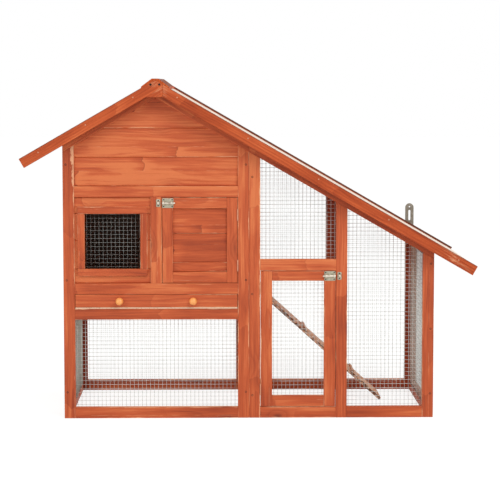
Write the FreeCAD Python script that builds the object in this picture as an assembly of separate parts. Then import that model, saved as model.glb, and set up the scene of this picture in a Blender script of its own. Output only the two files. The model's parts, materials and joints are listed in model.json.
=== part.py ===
import FreeCAD, Part
import math
import os

from FreeCAD import Vector

# A wooden small-animal hutch: a gabled house on the left and a wire-mesh run on the right, under
# one long roof. X runs right along the front, Y runs to the back, Z is up, and all sizes are in
# millimetres. The origin is on the ground, under the middle of the whole part.

# Body and roof
house_length = 580.0
run_length = 580.0
body_depth = 550.0
eaves_wall = 106.5
roof_pitch = 30.0
eaves_overhang = 130.0
front_overhang = 50.0
rear_overhang = 50.0

# Frame timber
post_width = 35.0
frame_thickness = 20.0
rail_width = 34.0
bottom_rail = 35.0
top_rail = 31.0
end_thickness = 20.0
end_stile = 35.0
divider_thickness = 40.0
joint_gap = 0.2

# Levels of the front
lower_opening = 277.5
tray_slot = 46.0
bay_height = 270.0
run_door_opening = 430.5
run_head_rail = 36.0

# Cladding boards
board_cover = 90.0
board_thickness = 10.0
board_recess = 8.0
board_bevel = 2.0
divider_board = 10.0

# Window
window_member = 22.0
window_side_margin = 10.0
window_bottom_margin = 23.0
window_top_margin = 30.0

# Wire mesh: a panel keeps every strand while it has no more gaps than mesh_most_gaps
mesh_pitch = 12.7
mesh_strand = 1.6
mesh_lap = 8.0
mesh_edge = 2.0
mesh_most_gaps = 300

# Doors
door_thickness = 18.0
door_gap = 1.5
house_door_stile = 33.0
house_door_rail = 34.0
house_door_first_board = 30.0
run_door_stile = 36.0
run_door_top_rail = 30.0
run_door_bottom_rail = 34.0

# Butt hinges
hinge_length = 36.0
hinge_leaf = 0.5
hinge_leaf_width = 14.0
hinge_play = 0.2
hinge_knuckle = 2.0
hinge_pin = 0.9
hinge_running_gap = 0.05
hinge_end_gap = 0.3
hinge_inset = 54.0

# Barrel bolts
bolt_plate_length = 35.0
bolt_plate_height = 30.0
bolt_plate_thickness = 1.5
bolt_margin = 0.5
bolt_radius = 2.8
bolt_running_gap = 0.05
bolt_travel = 11.0
bolt_guide_width = 6.0
bolt_guide_side = 10.0
bolt_end_lip = 3.0
bolt_knob_side = 4.0
bolt_knob_length = 9.0
bolt_knob_gap = 1.5
keeper_width = 13.0
keeper_height = 24.0
keeper_offset = 4.0
keeper_play = 0.5

# Tray
tray_clearance = 0.3
tray_front_thickness = 16.0
tray_front_gap = 1.0
tray_base = 4.0
tray_side = 10.0
tray_side_height = 26.0
tray_back_gap = 4.0
runner_height = 20.0
runner_lap = 20.0
knob_spacing = 230.0
knob_radius = 12.0
knob_stem_radius = 5.0
knob_stem_length = 5.0
knob_flat = 2.0

# Doorway between house and run, and the ramp to the ground
doorway_height = 230.0
doorway_width = 180.0
doorway_rear_gap = 15.0
ramp_width = 150.0
ramp_thickness = 10.0
ramp_angle = 42.0
ramp_rod_drop = 17.0
ramp_rod_reach = 9.0
ramp_rod_radius = 3.0
ramp_rod_running_gap = 0.05
ramp_ring_radius = 7.0
ramp_ring_width = 12.0
ramp_ring_inset = 25.0
ramp_ring_gap = 2.0
ramp_tongue = 2.5
ramp_tongue_length = 45.0
ramp_bracket = 5.0
ramp_bracket_side = 18.0
ramp_bracket_gap = 1.0
tread_width = 10.0
tread_height = 6.0
tread_first = 210.0
tread_spacing = 217.0
tread_end_margin = 40.0

# Roof build-up, measured square to the slope from the front bargeboards' top edge: the felt lies
# below that edge and the rear bargeboards stand above it
barge_width = 32.0
barge_thickness = 18.0
rear_lip = 4.0
rear_barge_width = 20.0
felt_drop = 3.0
felt_thickness = 2.0
panel_thickness = 12.0
barge_joint_offset = 24.0
barge_apex_cut = 53.0
ridge_beam_width = 30.0
ridge_beam_height = 45.0
cap_width = 86.0
cap_flat = 20.0
cap_rise = 4.0
cap_edge = 4.0

# Fasteners
screw_radius = 2.0
screw_head_radius = 3.8
screw_head_depth = 3.0
screw_length = 42.0
screw_inset = 10.0
screw_hole_gap = 0.1
house_screw_low = 83.0
house_screw_drop = 45.0
run_screw_low = 72.0
run_screw_drop = 72.0
end_screw_low = 76.0
end_screw_drop = 21.0
apex_screw_spread = 27.0
apex_screw_drop = 14.5
apex_screw_length = 16.0
nail_radius = 1.1
nail_head_radius = 2.6
nail_head_depth = 0.8
nail_length = 34.0
nail_drop = 12.5
nail_first = 68.0
nail_end_margin = 60.0
left_nail_count = 3
right_nail_count = 5

# Anchor strap behind the rear bargeboard
strap_width = 29.0
strap_thickness = 2.5
strap_rise = 71.0
strap_tail = 3.0
strap_inset = 15.0
strap_hole_radius = 2.5
strap_hole_drop = 12.0
strap_slot_width = 7.0
strap_slot_length = 36.0
strap_slot_drop = 41.0
strap_screw_length = 15.0
strap_screw_spacing = 12.0

# Places worked out from the sizes above
left_x = -(house_length + run_length) / 2
split_x = left_x + house_length
right_x = split_x + run_length
ridge_x = left_x + house_length / 2
barge_front_y = -(front_overhang + body_depth + rear_overhang + strap_thickness) / 2
front_y = barge_front_y + front_overhang
rear_y = front_y + body_depth
barge_rear_y = rear_y + rear_overhang
front_inner_y = front_y + frame_thickness
rear_inner_y = rear_y - frame_thickness

pitch = math.radians(roof_pitch)
left_half = ridge_x - left_x + eaves_overhang
right_half = right_x - ridge_x + eaves_overhang
panel_top = felt_drop + felt_thickness
panel_bottom = panel_top + panel_thickness
rail_bottom = panel_bottom + top_rail

sill_bottom = bottom_rail + lower_opening
sill_top = sill_bottom + rail_width
head_bottom = sill_top + tray_slot
head_top = head_bottom + rail_width
bay_top = head_top + bay_height
bay_head_top = bay_top + rail_width
run_head_bottom = bottom_rail + run_door_opening
run_head_top = run_head_bottom + run_head_rail

house_in_left = left_x + post_width
house_in_right = split_x - post_width
window_post_left = (house_in_left + house_in_right - post_width) / 2
window_post_right = window_post_left + post_width
run_in_left = split_x + post_width
run_in_right = right_x - post_width
run_middle_left = (run_in_left + run_in_right - post_width) / 2
run_middle_right = run_middle_left + post_width
divider_left = split_x - divider_thickness / 2
divider_right = split_x + divider_thickness / 2

hinge_gap = 2 * hinge_leaf + hinge_play

ridge_rise = (ridge_x - left_x) * math.tan(pitch) + rail_bottom / math.cos(pitch)
ridge_height = bay_head_top + eaves_wall + ridge_rise


# Plain shapes
def box(x0, x1, y0, y1, z0, z1):
    return Part.makeBox(x1 - x0, y1 - y0, z1 - z0, Vector(x0, y0, z0))


def prism(corners, travel):
    wire = Part.makePolygon(corners + [corners[0]])
    return Part.Face(wire).extrude(travel)


def prism_y(outline, y0, y1):
    return prism([Vector(x, y0, z) for x, z in outline], Vector(0, y1 - y0, 0))


def prism_x(outline, x0, x1):
    return prism([Vector(x0, y, z) for y, z in outline], Vector(x1 - x0, 0, 0))


def rod(radius, start, end):
    along = end - start
    return Part.makeCylinder(radius, along.Length, start, along)


def save(name, solids):
    Part.makeCompound(solids).exportStep(os.path.join("parts", name + ".step"))


# Roof geometry: depth is measured square to the slope, down from the front bargeboards' top edge
def roof_height(x, depth):
    return ridge_height - abs(x - ridge_x) * math.tan(pitch) - depth / math.cos(pitch)


def slope_end(side, depth):
    half = left_half if side < 0 else right_half
    end_x = ridge_x + side * half
    square_x = end_x - side * depth * math.sin(pitch)
    return square_x, roof_height(end_x, 0) - depth * math.cos(pitch)


def slope_layer(side, upper, lower, y0, y1, from_ridge=0.0):
    start_x = ridge_x + side * from_ridge
    outline = [
        (start_x, roof_height(start_x, upper)),
        slope_end(side, upper),
        slope_end(side, lower),
        (start_x, roof_height(start_x, lower)),
    ]
    return prism_y(outline, y0, y1)


def under_roof(x0, x1, bottom, depth, y0, y1):
    outline = [(x0, bottom), (x1, bottom), (x1, roof_height(x1, depth)), (x0, roof_height(x0, depth))]
    return prism_y(outline, y0, y1)


def sloped_rail(x0, x1, y0, y1):
    outline = [
        (x0, roof_height(x0, panel_bottom)),
        (x1, roof_height(x1, panel_bottom)),
        (x1, roof_height(x1, rail_bottom)),
        (x0, roof_height(x0, rail_bottom)),
    ]
    return prism_y(outline, y0, y1)


# Cladding: bevelled boards laid one above the other, with their weather face at outer
def board_levels(bottom, top, first):
    levels = [bottom]
    seam = bottom + first
    while seam < top - board_bevel * 2:
        levels.append(seam)
        seam += board_cover
    return list(zip(levels, levels[1:] + [top]))


def board_profile(outer, inner, low, high):
    bevel = math.copysign(board_bevel, inner - outer)
    low_edge = low + joint_gap / 2
    high_edge = high - joint_gap / 2
    return [
        (outer + bevel, low_edge),
        (outer, low_edge + board_bevel),
        (outer, high_edge - board_bevel),
        (outer + bevel, high_edge),
        (inner, high_edge),
        (inner, low_edge),
    ]


def boards_x(x0, x1, bottom, top, outer, inner, first=board_cover):
    rows = board_levels(bottom, top, first)
    return [prism_x(board_profile(outer, inner, low, high), x0, x1) for low, high in rows]


def boards_y(y0, y1, bottom, top, outer, inner, first=board_cover):
    rows = board_levels(bottom, top, first)
    return [prism_y(board_profile(outer, inner, low, high), y0, y1) for low, high in rows]


# Wire mesh: a thin sheet with square gaps, cut off along the edges of its outline
def keep_inside(gap, start, end):
    length = math.hypot(end[0] - start[0], end[1] - start[1])

    def inset(point):
        across = (end[0] - start[0]) * (point[1] - start[1]) - (end[1] - start[1]) * (point[0] - start[0])
        return across / length - mesh_edge

    kept = []
    for here, after in zip(gap, gap[1:] + gap[:1]):
        room_here = inset(here)
        room_after = inset(after)
        if room_here >= 0:
            kept.append(here)
        if room_here * room_after < 0:
            share = room_here / (room_here - room_after)
            kept.append(tuple(a + share * (b - a) for a, b in zip(here, after)))
    return kept


def gap_area(gap):
    pairs = zip(gap, gap[1:] + gap[:1])
    return sum(a[0] * b[1] - b[0] * a[1] for a, b in pairs) / 2


def strand_pitch(width, height):
    pitch_now = mesh_pitch
    while math.ceil(width / pitch_now) * math.ceil(height / pitch_now) > mesh_most_gaps:
        pitch_now += mesh_pitch
    return pitch_now


def mesh_gaps(outline):
    low_u = min(u for u, v in outline)
    low_v = min(v for u, v in outline)
    width = max(u for u, v in outline) - low_u
    height = max(v for u, v in outline) - low_v
    pitch_now = strand_pitch(width, height)
    half = (pitch_now - mesh_strand) / 2
    smallest = mesh_strand * pitch_now
    for column in range(math.ceil(width / pitch_now)):
        for row in range(math.ceil(height / pitch_now)):
            middle_u = low_u + (column + 0.5) * pitch_now
            middle_v = low_v + (row + 0.5) * pitch_now
            gap = [
                (middle_u - half, middle_v - half),
                (middle_u + half, middle_v - half),
                (middle_u + half, middle_v + half),
                (middle_u - half, middle_v + half),
            ]
            for start, end in zip(outline, outline[1:] + outline[:1]):
                gap = keep_inside(gap, start, end)
            if len(gap) > 2 and gap_area(gap) > smallest:
                yield gap


def mesh_sheet(outline, place, travel):
    def loop(points):
        corners = [place(u, v) for u, v in points]
        return Part.makePolygon(corners + [corners[0]])

    gaps = [loop(reversed(gap)) for gap in mesh_gaps(outline)]
    return Part.Face([loop(outline)] + gaps).extrude(travel)


def mesh_across(outline, y):
    return mesh_sheet(outline, lambda x, z: Vector(x, y, z), Vector(0, mesh_strand, 0))


def mesh_along(outline, x):
    return mesh_sheet(outline, lambda y, z: Vector(x, y, z), Vector(mesh_strand, 0, 0))


def lapped(x0, x1, z0, z1):
    low = z0 - mesh_lap
    high = z1 + mesh_lap
    return [(x0 - mesh_lap, low), (x1 + mesh_lap, low), (x1 + mesh_lap, high), (x0 - mesh_lap, high)]


def lapped_under_rail(x0, x1, bottom):
    depth = rail_bottom - mesh_lap
    left = x0 - mesh_lap
    right = x1 + mesh_lap
    low = bottom - mesh_lap
    return [(left, low), (right, low), (right, roof_height(right, depth)), (left, roof_height(left, depth))]


# Fasteners point along travel, a unit vector, from the face that their head is flush with
def fastener(head, travel, radius, head_radius, head_depth, length, gap=0.0):
    cone = Part.makeCone(head_radius + gap, radius + gap, head_depth, head, travel)
    return cone.fuse(rod(radius + gap, head, head + travel * length)).removeSplitter()


def screw(head, travel, length=screw_length, gap=0.0):
    return fastener(head, travel, screw_radius, screw_head_radius, screw_head_depth, length, gap)


def nail(head, travel, gap=0.0):
    return fastener(head, travel, nail_radius, nail_head_radius, nail_head_depth, nail_length, gap)


def drilled(solid, cutters):
    for cutter in cutters:
        if solid.BoundBox.intersect(cutter.BoundBox):
            solid = solid.cut(cutter)
    return solid


os.makedirs("parts", exist_ok=True)

# Where the panels are screwed together: through the front and rear posts into the end panels
into_house = Vector(0, 1, 0)
house_screw_middle = head_top + screw_inset
end_screw_top = roof_height(right_x - screw_inset, rail_bottom) - end_screw_drop
end_screw_middle = (end_screw_low + end_screw_top) / 2
screw_columns = (
    (left_x + screw_inset, house_screw_low, house_screw_middle, house_screw_drop),
    (split_x - screw_inset, house_screw_low, house_screw_middle, house_screw_drop),
    (split_x + screw_inset, run_screw_low, head_bottom, run_screw_drop),
    (right_x - screw_inset, end_screw_low, end_screw_middle, end_screw_drop),
)
screw_places = []
for column_x, low, middle, drop in screw_columns:
    for level in (low, middle, roof_height(column_x, rail_bottom) - drop):
        screw_places.append((Vector(column_x, front_y, level), into_house))
        screw_places.append((Vector(column_x, rear_y, level), -into_house))
screw_holes = [screw(head, travel, gap=screw_hole_gap) for head, travel in screw_places]

# Posts of the front and the rear
posts = (
    ("front_left_post", left_x, house_in_left),
    ("house_right_post", house_in_right, split_x),
    ("run_left_post", split_x + joint_gap, run_in_left),
    ("run_middle_post", run_middle_left, run_middle_right),
    ("run_right_post", run_in_right, right_x),
)
for name, x0, x1 in posts:
    save(name, [drilled(under_roof(x0, x1, 0, rail_bottom, front_y, front_inner_y), screw_holes)])
rear_posts = [under_roof(x0, x1, 0, rail_bottom, rear_inner_y, rear_y) for name, x0, x1 in posts]
save("rear_posts", [drilled(post, screw_holes) for post in rear_posts])

# Rails of the front
rails = (
    ("tray_sill_rail", house_in_left, house_in_right, sill_bottom, sill_top),
    ("tray_head_rail", house_in_left, house_in_right, head_bottom, head_top),
    ("house_head_rail", house_in_left, house_in_right, bay_top, bay_head_top),
    ("window_post", window_post_left, window_post_right, head_top, bay_top),
    ("run_head_rail", run_in_left, run_middle_left, run_head_bottom, run_head_top),
)
for name, x0, x1, z0, z1 in rails:
    save(name, [box(x0, x1, front_y, front_inner_y, z0, z1)])


def bottom_rails(y0, y1):
    spans = (
        (house_in_left, house_in_right),
        (run_in_left, run_middle_left),
        (run_middle_right, run_in_right),
    )
    return [box(x0, x1, y0, y1, 0, bottom_rail) for x0, x1 in spans]


save("front_bottom_rails", bottom_rails(front_y, front_inner_y))

# Sloped rails under the roof
ridge_left = ridge_x - joint_gap / 2
ridge_right = ridge_x + joint_gap / 2


def top_rails(y0, y1):
    spans = ((left_x, ridge_left), (ridge_right, split_x), (split_x + joint_gap, right_x))
    return [sloped_rail(x0, x1, y0, y1) for x0, x1 in spans]


save("front_top_rails", top_rails(front_y, front_inner_y))

# Rails of the rear, with one at floor level
floor_rail = box(house_in_left, house_in_right, rear_inner_y, rear_y, sill_bottom, sill_top)
save("rear_rails", bottom_rails(rear_inner_y, rear_y) + [floor_rail] + top_rails(rear_inner_y, rear_y))

# Cladding of the two gables
gable_top = roof_height(ridge_x, rail_bottom)


def gable_boards(bottom, outer, inner):
    outline = [
        (house_in_left, bottom),
        (house_in_right, bottom),
        (house_in_right, roof_height(house_in_right, rail_bottom)),
        (ridge_x, gable_top),
        (house_in_left, roof_height(house_in_left, rail_bottom)),
    ]
    shadow = prism_y(outline, min(outer, inner), max(outer, inner))
    rows = boards_x(house_in_left, house_in_right, bottom, gable_top, outer, inner)
    return [row.common(shadow) for row in rows]


front_board_y = front_y + board_recess
front_board_back = front_board_y + board_thickness
rear_board_y = rear_y - board_recess
rear_board_back = rear_board_y - board_thickness
front_boards = gable_boards(bay_head_top, front_board_y, front_board_back)
save("rear_boards", gable_boards(sill_top, rear_board_y, rear_board_back))

# Window: boards around an opening, with a raised frame and mesh behind
frame_left = house_in_left + window_side_margin
frame_right = window_post_left - window_side_margin
frame_bottom = head_top + window_bottom_margin
frame_top = bay_top - window_top_margin
hole_left = frame_left + window_member
hole_right = frame_right - window_member
hole_bottom = frame_bottom + window_member
hole_top = frame_top - window_member
for x0, x1, z0, z1 in (
    (house_in_left, window_post_left, head_top, hole_bottom),
    (house_in_left, window_post_left, hole_top, bay_top),
    (house_in_left, hole_left, hole_bottom, hole_top),
    (hole_right, window_post_left, hole_bottom, hole_top),
):
    front_boards += boards_x(x0, x1, z0, z1, front_board_y, front_board_back)
save("front_boards", front_boards)

upright_bottom = hole_bottom + joint_gap
upright_top = hole_top - joint_gap
window_frame = (
    (frame_left, frame_right, frame_bottom, hole_bottom),
    (frame_left, frame_right, hole_top, frame_top),
    (frame_left, hole_left, upright_bottom, upright_top),
    (hole_right, frame_right, upright_bottom, upright_top),
)
save("window_frame", [box(x0, x1, front_y, front_board_y, z0, z1) for x0, x1, z0, z1 in window_frame])
save("window_mesh", [mesh_across(lapped(hole_left, hole_right, hole_bottom, hole_top), front_board_back)])

# Mesh of the front and the rear, fixed to the inner faces of the frames
rear_mesh_y = rear_inner_y - mesh_strand
house_mesh = lapped(house_in_left, house_in_right, bottom_rail, sill_bottom)
right_mesh = lapped_under_rail(run_middle_right, run_in_right, bottom_rail)
save("house_front_mesh", [mesh_across(house_mesh, front_inner_y)])
save("run_front_mesh", [
    mesh_across(lapped_under_rail(run_in_left, run_middle_left, run_head_top), front_inner_y),
    mesh_across(right_mesh, front_inner_y),
])
save("rear_mesh", [
    mesh_across(house_mesh, rear_mesh_y),
    mesh_across(lapped_under_rail(run_in_left, run_middle_left, bottom_rail), rear_mesh_y),
    mesh_across(right_mesh, rear_mesh_y),
])

# End panels and the dividing panel: stiles behind the posts, with rails between them
stile_front = front_inner_y + end_stile
stile_rear = rear_inner_y - end_stile
rail_front = stile_front + joint_gap
rail_rear = stile_rear - joint_gap


def end_stiles(x0, x1):
    stiles = [
        under_roof(x0, x1, 0, panel_bottom, front_inner_y, stile_front),
        under_roof(x0, x1, 0, panel_bottom, stile_rear, rear_inner_y),
    ]
    return [drilled(stile, screw_holes) for stile in stiles]


def end_rail(x0, x1, z0, z1):
    return box(x0, x1, rail_front, rail_rear, z0, z1)


def end_top_rail(x0, x1):
    bottom = min(roof_height(x0, panel_bottom), roof_height(x1, panel_bottom)) - rail_width
    return bottom, under_roof(x0, x1, bottom, panel_bottom, rail_front, rail_rear)


left_inner = left_x + end_thickness
right_inner = right_x - end_thickness
left_top, left_top_rail = end_top_rail(left_x, left_inner)
right_top, right_top_rail = end_top_rail(right_inner, right_x)
divider_top, divider_top_rail = end_top_rail(divider_left, divider_right)
save("left_end_frame", end_stiles(left_x, left_inner) + [
    end_rail(left_x, left_inner, 0, bottom_rail),
    end_rail(left_x, left_inner, sill_bottom, sill_top),
    left_top_rail,
])
save("right_end_frame", end_stiles(right_inner, right_x) + [
    end_rail(right_inner, right_x, 0, bottom_rail),
    right_top_rail,
])
left_board_x = left_x + (end_thickness - board_thickness) / 2
save("left_end_boards", boards_y(
    stile_front, stile_rear, sill_top, left_top, left_board_x, left_board_x + board_thickness,
))
end_mesh_left = lapped(stile_front, stile_rear, bottom_rail, sill_bottom)
end_mesh_right = lapped(stile_front, stile_rear, bottom_rail, right_top)
save("end_mesh", [
    mesh_along(end_mesh_left, left_inner),
    mesh_along(end_mesh_right, right_inner - mesh_strand),
])

# Dividing panel: its boards leave a doorway at the top of the ramp
doorway_rear = stile_rear - doorway_rear_gap
doorway_front = doorway_rear - doorway_width
ramp_front = doorway_front + (doorway_width - ramp_width) / 2
ramp_rear = ramp_front + ramp_width
doorway_sill = head_bottom
ramp_rod_height = doorway_sill - ramp_rod_drop
doorway_top = doorway_sill + doorway_height
ramp_rod_x = divider_right + ramp_rod_reach
save("divider_frame", end_stiles(divider_left, divider_right) + [
    end_rail(divider_left, divider_right, sill_bottom, sill_top),
    end_rail(divider_left, divider_right, doorway_sill - rail_width, doorway_sill - joint_gap),
    divider_top_rail,
])
divider_board_x = divider_left - divider_board
board_top = roof_height(divider_left, rail_bottom)
divider_boards = []
for y0, y1, z0, z1 in (
    (front_inner_y, doorway_front, doorway_sill, doorway_top),
    (doorway_rear, rear_inner_y, doorway_sill, doorway_top),
    (front_inner_y, rear_inner_y, doorway_top, board_top),
):
    divider_boards += boards_y(y0, y1, z0, z1, divider_board_x, divider_left)
save("divider_boards", divider_boards)

# Runners and the pull-out tray
runner_bottom = sill_top - runner_height
save("tray_runners", [
    box(left_inner, house_in_left + runner_lap, front_inner_y, rear_inner_y, runner_bottom, sill_top),
    box(house_in_right - runner_lap, divider_left, front_inner_y, rear_inner_y, runner_bottom, sill_top),
])
tray_left = house_in_left + door_gap
tray_right = house_in_right - door_gap
tray_front_top = head_bottom - tray_front_gap
tray_back_of_front = front_y + tray_front_thickness
tray_rear = rear_inner_y - tray_back_gap
tray_floor = sill_top + tray_clearance
tray_wall_bottom = tray_floor + tray_base + joint_gap
tray_wall_top = tray_wall_bottom + tray_side_height
save("tray_front", [
    box(tray_left, tray_right, front_y, tray_back_of_front, tray_wall_bottom, tray_front_top),
])
tray_wall_rear = tray_rear - tray_side - joint_gap
tray_box_front = tray_back_of_front + joint_gap
save("tray_box", [
    box(tray_left, tray_right, front_y, tray_rear, tray_floor, tray_floor + tray_base),
    box(tray_left, tray_left + tray_side, tray_box_front, tray_wall_rear, tray_wall_bottom, tray_wall_top),
    box(tray_right - tray_side, tray_right, tray_box_front, tray_wall_rear, tray_wall_bottom, tray_wall_top),
    box(tray_left, tray_right, tray_rear - tray_side, tray_rear, tray_wall_bottom, tray_wall_top),
])


def tray_knob(x, z):
    seat = Vector(x, front_y, z)
    outward = Vector(0, -1, 0)
    stem = rod(knob_stem_radius, seat, seat + outward * (knob_stem_length + knob_radius))
    ball = Part.makeSphere(knob_radius, seat + outward * (knob_stem_length + knob_radius - knob_flat))
    ball_face = front_y - knob_stem_length
    front_half = box(x - knob_radius, x + knob_radius, ball_face - 2 * knob_radius, ball_face,
                     z - knob_radius, z + knob_radius)
    return stem.fuse(ball.common(front_half)).removeSplitter()


tray_middle_x = (tray_left + tray_right) / 2
tray_middle_z = (tray_wall_bottom + tray_front_top) / 2
knob_places = (tray_middle_x - knob_spacing / 2, tray_middle_x + knob_spacing / 2)
save("tray_knobs", [tray_knob(x, tray_middle_z) for x in knob_places])


# Doors: two stiles with rails between them
def door_frame(x0, x1, z0, z1, stile, low_rail, high_rail):
    inner_left = x0 + stile + joint_gap
    inner_right = x1 - stile - joint_gap
    back = front_y + door_thickness
    return [
        box(x0, x0 + stile, front_y, back, z0, z1),
        box(x1 - stile, x1, front_y, back, z0, z1),
        box(inner_left, inner_right, front_y, back, z0, z0 + low_rail),
        box(inner_left, inner_right, front_y, back, z1 - high_rail, z1),
    ]


house_door_left = window_post_right + door_gap
house_door_right = house_in_right - hinge_gap
house_door_bottom = head_top + door_gap
house_door_top = bay_top - door_gap
save("house_door_frame", door_frame(
    house_door_left, house_door_right, house_door_bottom, house_door_top,
    house_door_stile, house_door_rail, house_door_rail,
))
door_board_y = front_y + board_recess
save("house_door_boards", boards_x(
    house_door_left + house_door_stile, house_door_right - house_door_stile,
    house_door_bottom + house_door_rail, house_door_top - house_door_rail,
    door_board_y, front_y + door_thickness, house_door_first_board,
))

run_door_left = run_in_left + hinge_gap
run_door_right = run_middle_left - door_gap
run_door_bottom = bottom_rail + door_gap
run_door_top = run_head_bottom - door_gap
save("run_door_frame", door_frame(
    run_door_left, run_door_right, run_door_bottom, run_door_top,
    run_door_stile, run_door_bottom_rail, run_door_top_rail,
))
run_door_mesh = lapped(
    run_door_left + run_door_stile, run_door_right - run_door_stile,
    run_door_bottom + run_door_bottom_rail, run_door_top - run_door_top_rail,
)
save("run_door_mesh", [mesh_across(run_door_mesh, front_y + door_thickness)])

# Butt hinges: the pin stands just in front of the gap, and the leaves lie flat in the gap
hinge_axis_y = front_y - hinge_knuckle - hinge_end_gap
knuckle_length = hinge_length / 3


def hinge_half(axis_x, toward, bottom, knuckles):
    near = hinge_play / 2
    far = near + hinge_leaf
    x0 = axis_x + min(toward * near, toward * far)
    x1 = axis_x + max(toward * near, toward * far)
    leaf = box(x0, x1, front_y, front_y + hinge_leaf_width, bottom, bottom + hinge_length)
    bores = []
    for index in knuckles:
        low = bottom + index * knuckle_length + hinge_end_gap / 2
        high = bottom + (index + 1) * knuckle_length - hinge_end_gap / 2
        start = Vector(axis_x, hinge_axis_y, low)
        end = Vector(axis_x, hinge_axis_y, high)
        leaf = leaf.fuse(rod(hinge_knuckle, start, end))
        leaf = leaf.fuse(box(x0, x1, hinge_axis_y, front_y, low, high))
        bores.append(rod(hinge_pin + hinge_running_gap, start, end))
    for bore in bores:
        leaf = leaf.cut(bore)
    return leaf.removeSplitter()


def hinge_bottoms(z0, z1):
    return (z0 + hinge_inset - hinge_length / 2, z1 - hinge_inset - hinge_length / 2)


house_axis_x = house_in_right - hinge_gap / 2
run_axis_x = run_in_left + hinge_gap / 2
house_hinges = [(house_axis_x, 1, low) for low in hinge_bottoms(house_door_bottom, house_door_top)]
run_hinges = [(run_axis_x, -1, low) for low in hinge_bottoms(run_door_bottom, run_door_top)]
save("hinge_fixed_leaves", [hinge_half(x, side, low, (0, 2)) for x, side, low in house_hinges + run_hinges])
save("house_door_hinges", [hinge_half(x, -side, low, (1,)) for x, side, low in house_hinges])
save("run_door_hinges", [hinge_half(x, -side, low, (1,)) for x, side, low in run_hinges])
save("hinge_pins", [
    rod(hinge_pin, Vector(x, hinge_axis_y, low), Vector(x, hinge_axis_y, low + hinge_length))
    for x, side, low in house_hinges + run_hinges
])

# Barrel bolts, drawn back: edge_x is the door's free edge and toward points at the keeper
bolt_face_y = front_y - bolt_plate_thickness
bolt_axis_y = bolt_face_y - bolt_guide_side / 2
rear_guide = bolt_margin + bolt_plate_length - bolt_end_lip - bolt_guide_width


def bolt_strip(edge_x, toward, start, length, y0, y1, z0, z1):
    near = edge_x - toward * start
    far = edge_x - toward * (start + length)
    return box(min(near, far), max(near, far), y0, y1, z0, z1)


def bolt_loop(edge_x, toward, start, length, z, play):
    half = bolt_guide_side / 2
    loop_y = bolt_face_y - bolt_guide_side
    loop = bolt_strip(edge_x, toward, start, length, loop_y, bolt_face_y, z - half, z + half)
    near = Vector(edge_x - toward * start, bolt_axis_y, z)
    far = Vector(edge_x - toward * (start + length), bolt_axis_y, z)
    return loop.cut(rod(bolt_radius + play, near, far))


def bolt_plate(edge_x, toward, z):
    half = bolt_plate_height / 2
    low = z - half
    high = z + half
    plate = bolt_strip(edge_x, toward, bolt_margin, bolt_plate_length, bolt_face_y, front_y, low, high)
    for start in (bolt_margin, rear_guide):
        plate = plate.fuse(bolt_loop(edge_x, toward, start, bolt_guide_width, z, bolt_running_gap))
    return plate.removeSplitter()


def bolt_keeper(edge_x, toward, z):
    half = keeper_height / 2
    start = -door_gap - keeper_offset - keeper_width
    plate = bolt_strip(edge_x, toward, start, keeper_width, bolt_face_y, front_y, z - half, z + half)
    return plate.fuse(bolt_loop(edge_x, toward, start, keeper_width, z, keeper_play)).removeSplitter()


def bolt_rod(edge_x, toward, z):
    knob_start = rear_guide - bolt_knob_gap - bolt_knob_side
    tip = Vector(edge_x - toward * bolt_margin, bolt_axis_y, z)
    tail = Vector(edge_x - toward * (rear_guide + bolt_guide_width / 2 + bolt_travel), bolt_axis_y, z)
    half = bolt_knob_side / 2
    knob_y = bolt_axis_y - bolt_knob_length
    knob = bolt_strip(edge_x, toward, knob_start, bolt_knob_side, knob_y, bolt_axis_y, z - half, z + half)
    return rod(bolt_radius, tip, tail).fuse(knob).removeSplitter()


house_bolt_z = house_door_top - house_door_rail / 2
run_bolt_z = run_door_top - run_door_top_rail / 2
house_bolt_place = (house_door_left, -1, house_bolt_z)
run_bolt_place = (run_door_right, 1, run_bolt_z)
save("house_bolt_plate", [bolt_plate(*house_bolt_place)])
save("house_bolt", [bolt_rod(*house_bolt_place)])
save("run_bolt_plate", [bolt_plate(*run_bolt_place)])
save("run_bolt", [bolt_rod(*run_bolt_place)])
save("bolt_keepers", [bolt_keeper(*house_bolt_place), bolt_keeper(*run_bolt_place)])

# Ramp: a board that swings on a steel rod in front of the doorway and rests on the ground
ramp_tilt = math.radians(ramp_angle)


def ramp_point(along, above):
    x = ramp_rod_x + along * math.cos(ramp_tilt) + above * math.sin(ramp_tilt)
    z = ramp_rod_height - along * math.sin(ramp_tilt) + above * math.cos(ramp_tilt)
    return x, z


def ramp_strip(start, end, low, high, y0, y1):
    corners = ((start, low), (end, low), (end, high), (start, high))
    return prism_y([ramp_point(along, above) for along, above in corners], y0, y1)


half_board = ramp_thickness / 2
ramp_length = (ramp_rod_height - half_board * math.cos(ramp_tilt)) / math.sin(ramp_tilt)
ramp_start = ramp_ring_radius + ramp_ring_gap
save("ramp_board", [ramp_strip(ramp_start, ramp_length, -half_board, half_board, ramp_front, ramp_rear)])
tread_count = int((ramp_length - tread_end_margin - tread_first) / tread_spacing) + 1
tread_starts = [tread_first + index * tread_spacing - tread_width / 2 for index in range(tread_count)]
tread_top = half_board + tread_height
save("ramp_treads", [
    ramp_strip(start, start + tread_width, half_board, tread_top, ramp_front, ramp_rear)
    for start in tread_starts
])


def ramp_rod(radius, y0, y1):
    return rod(radius, Vector(ramp_rod_x, y0, ramp_rod_height), Vector(ramp_rod_x, y1, ramp_rod_height))


def ramp_ring(y0):
    y1 = y0 + ramp_ring_width
    tongue = ramp_strip(0, ramp_tongue_length, -half_board - ramp_tongue, -half_board, y0, y1)
    ring = ramp_rod(ramp_ring_radius, y0, y1).fuse(tongue)
    return ring.cut(ramp_rod(ramp_rod_radius + ramp_rod_running_gap, y0, y1)).removeSplitter()


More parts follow.
